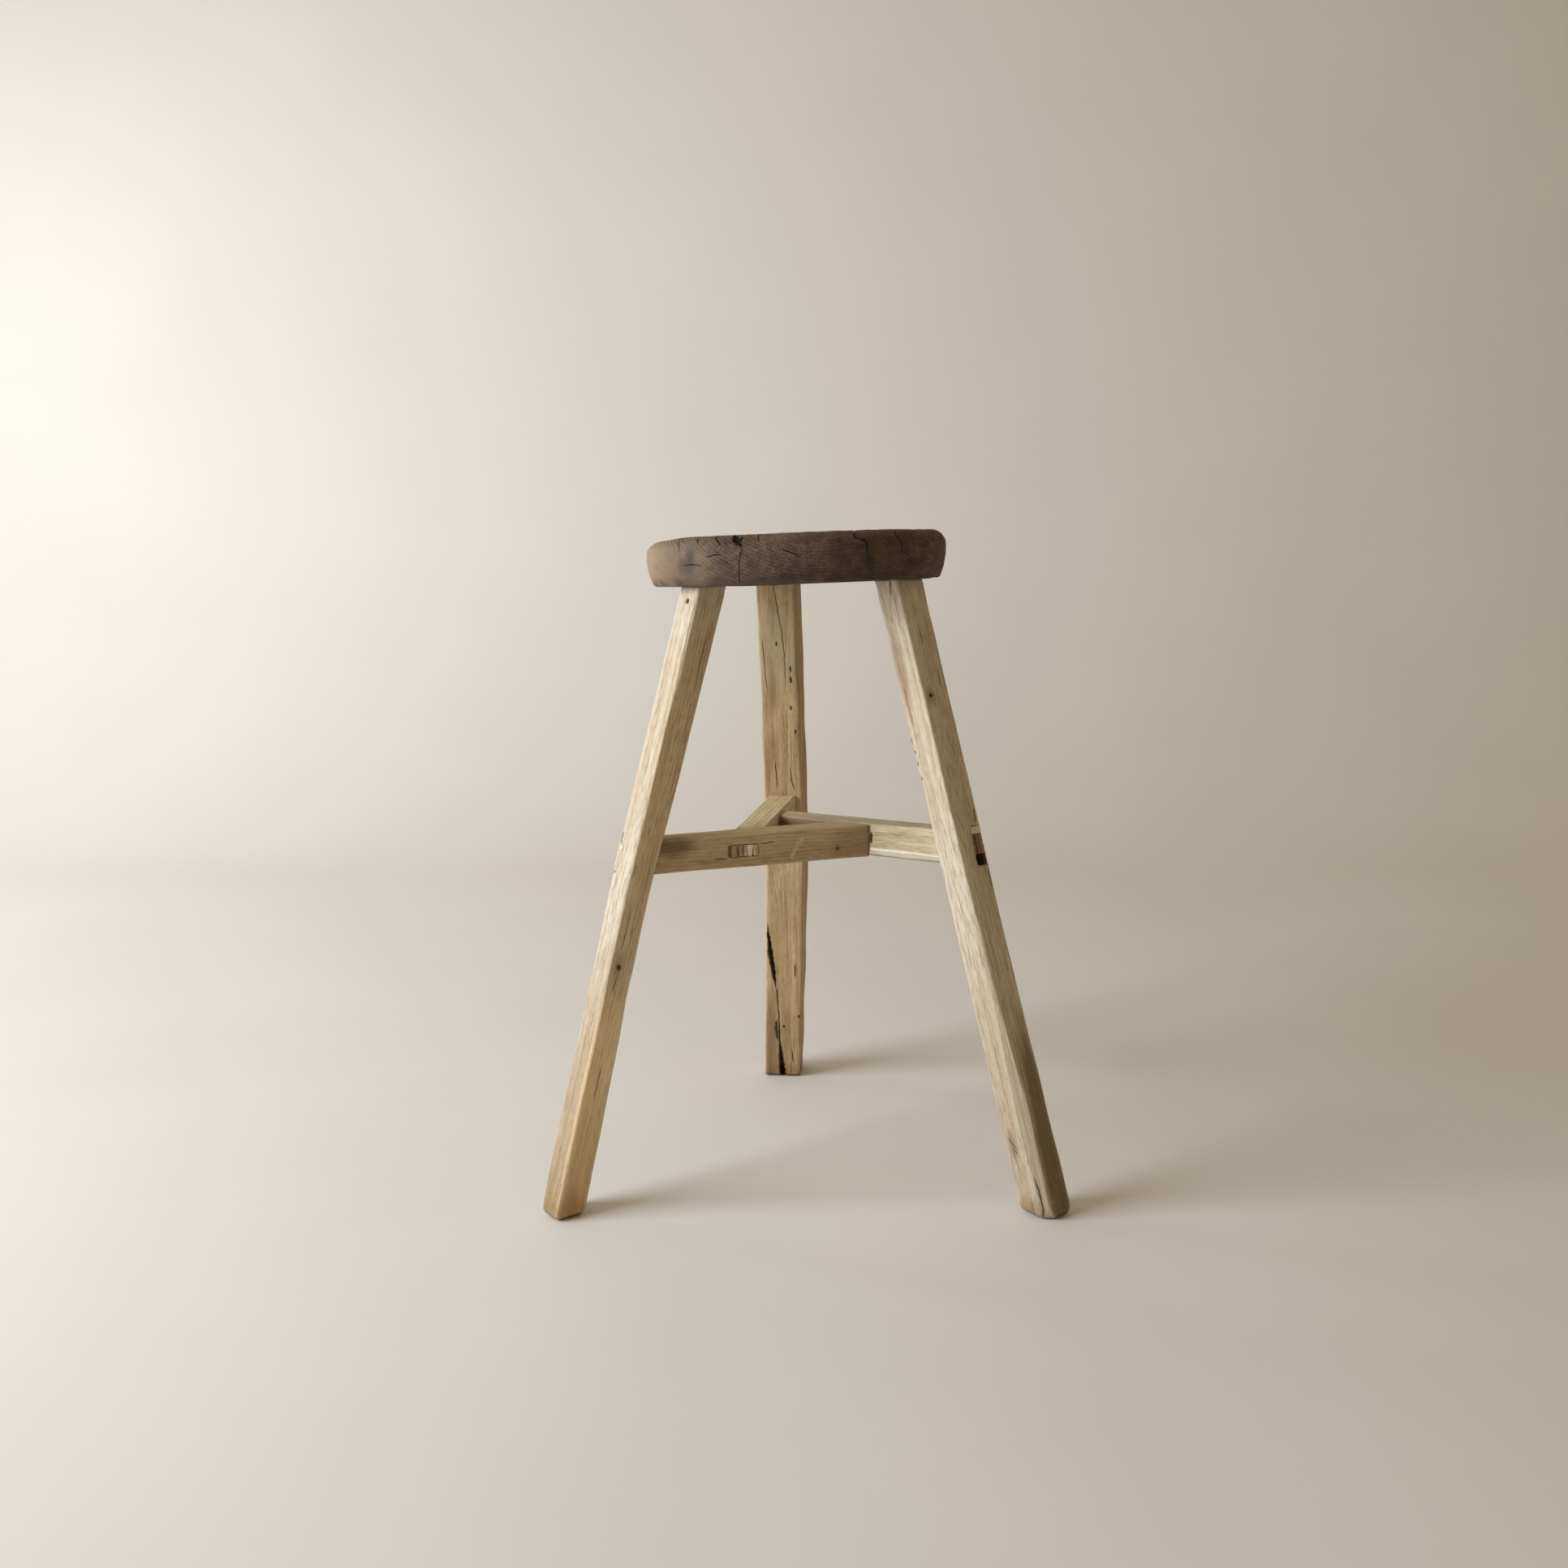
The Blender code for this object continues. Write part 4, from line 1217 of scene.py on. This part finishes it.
def makeWedge(node):
    mesh = fineSkin(node, wedgePlan["grainSize"])
    points = readPoints(mesh)
    rough = ripple(points, *wedgePlan["rough"]) * wedgePlan["roughSize"]
    points += readNormals(mesh) * rough[:, None]
    low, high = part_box(node)
    if node.startswith("wedge_head"):
        heading = stretcherPlans[node.replace("wedge_head", "stretcher")]["heading"]
        across = np.array(flat(heading - 90))
        offset = (points - np.array((low + high) / 2)) @ across
        rise = (points[:, 2] - low.z) / (high.z - low.z) * 2 - 1
        points += np.outer(offset * rise * wedgePlan["flare"], across)
    writePoints(mesh, points)
    for name in ("edge", "grime", "soot", "crack"):
        mark(mesh, name)
    place = {"centre": (low + high) / 2, "turn": (0, 0, 0), "tints": []}
    material = woodShader(node + "_oak", wedgeOak, place)
    addPiece(node + "_oak", mesh, material, "wedge_wood", node)


for node in frame["nodes"]:
    if node.startswith("wedge"):
        makeWedge(node)


nailPlan = {
    "grainSize": 0.0003,
    "rust": (1200, 1200, 1200),
    "tones": [(0.35, (0.02, 0.014, 0.012)), (0.65, (0.12, 0.06, 0.035))],
    "roughness": 0.6,
    "relief": 0.0004,
}


def ironShader(plan):
    s = Shader("rusted_iron")
    solid = s.add("ShaderNodeTexCoord", out="Object")
    rust = s.cloud(solid, plan["rust"], 3)
    colour = s.add("ShaderNodeValToRGB", {"stops": plan["tones"]}, {0: rust})
    return s.finish(colour, plan["roughness"] + rust * 0.3, rust, plan["relief"])


nailSkin = fineSkin("nail_left", nailPlan["grainSize"])
addPiece("nail_head", nailSkin, ironShader(nailPlan), "nail_iron", "nail_left")
print("wedges and nail: done")


# stage and light

stagePlan = {
    "halfWidth": 24,
    "front": -6,
    "wall": 2.2,
    "wallHeight": 6,
    "curve": 0.7,
    "tone": (0.84, 0.815, 0.775),
    "toneSpread": 0.04,
    "mottle": ((3, 3, 3), 4),
    "roughness": 0.85,
    "relief": 0.0005,
}

lightPlan = {
    "window": {
        "place": (-2.5, -1.0, 1.4), "aim": (0.0, 0.0, 0.4), "size": (1.6, 1.7), "power": 80,
        "colour": (0.87, 0.935, 1.0),
    },
    "wallWash": {
        "place": (-2.4, 1.0, 1.3), "aim": (-0.9, 2.2, 0.7), "size": (0.8, 1.6), "power": 11,
        "colour": (0.95, 0.98, 1.0),
    },
    "sky": ((1.0, 0.79, 0.47), 0.29),
}


def makeStage(plan):
    # floor and wall in one sheet, with a curve between them
    half, wall = plan["halfWidth"], plan["wall"]
    profile = [(plan["front"], 0), (wall, 0), (wall, plan["wallHeight"])]
    bm = bmesh.new()
    rows = [[bm.verts.new((x, y, z)) for x in (-half, half)] for y, z in profile]
    for near, far in zip(rows, rows[1:]):
        bm.faces.new((near[0], near[1], far[1], far[0]))
    fold = [edge for edge in bm.edges if len(edge.link_faces) == 2]
    bend = {"affect": "EDGES", "segments": 16, "profile": 0.5, "material": -1}
    bmesh.ops.bevel(bm, geom=fold, offset=plan["curve"], **bend)
    bmesh.ops.recalc_face_normals(bm, faces=bm.faces)
    mesh = bpy.data.meshes.new("studio_sweep")
    bm.to_mesh(mesh)
    bm.free()
    mesh.shade_smooth()
    s = Shader("studio_paint")
    solid = s.add("ShaderNodeTexCoord", out="Object")
    mottle = s.cloud(solid, *plan["mottle"])
    darker = [v * (1 - plan["toneSpread"]) for v in plan["tone"]]
    lighter = [v * (1 + plan["toneSpread"]) for v in plan["tone"]]
    colour = s.mix(mottle, darker, lighter)
    mesh.materials.append(s.finish(colour, plan["roughness"], mottle, plan["relief"]))
    sweep = bpy.data.objects.new("studio_sweep", mesh)
    bpy.context.scene.collection.objects.link(sweep)


def makeLamp(name, plan):
    data = bpy.data.lights.new(name, "AREA")
    data.shape = "RECTANGLE"
    data.size, data.size_y = plan["size"]
    data.energy = plan["power"]
    data.color = plan["colour"]
    lamp = bpy.data.objects.new(name, data)
    lamp.location = plan["place"]
    lamp.rotation_euler = (Vector(plan["aim"]) - lamp.location).to_track_quat("-Z", "Y").to_euler()
    lamp.visible_camera = False
    bpy.context.scene.collection.objects.link(lamp)


def makeSky(colour, strength):
    world = bpy.data.worlds.new("sky")
    world.use_nodes = True
    background = world.node_tree.nodes["Background"]
    background.inputs["Color"].default_value = (*colour, 1)
    background.inputs["Strength"].default_value = strength
    bpy.context.scene.world = world


makeStage(stagePlan)
makeLamp("window", lightPlan["window"])
makeLamp("wall_wash", lightPlan["wallWash"])
makeSky(*lightPlan["sky"])
bpy.context.scene.view_settings.view_transform = "Standard"
print("stage and light: placed")
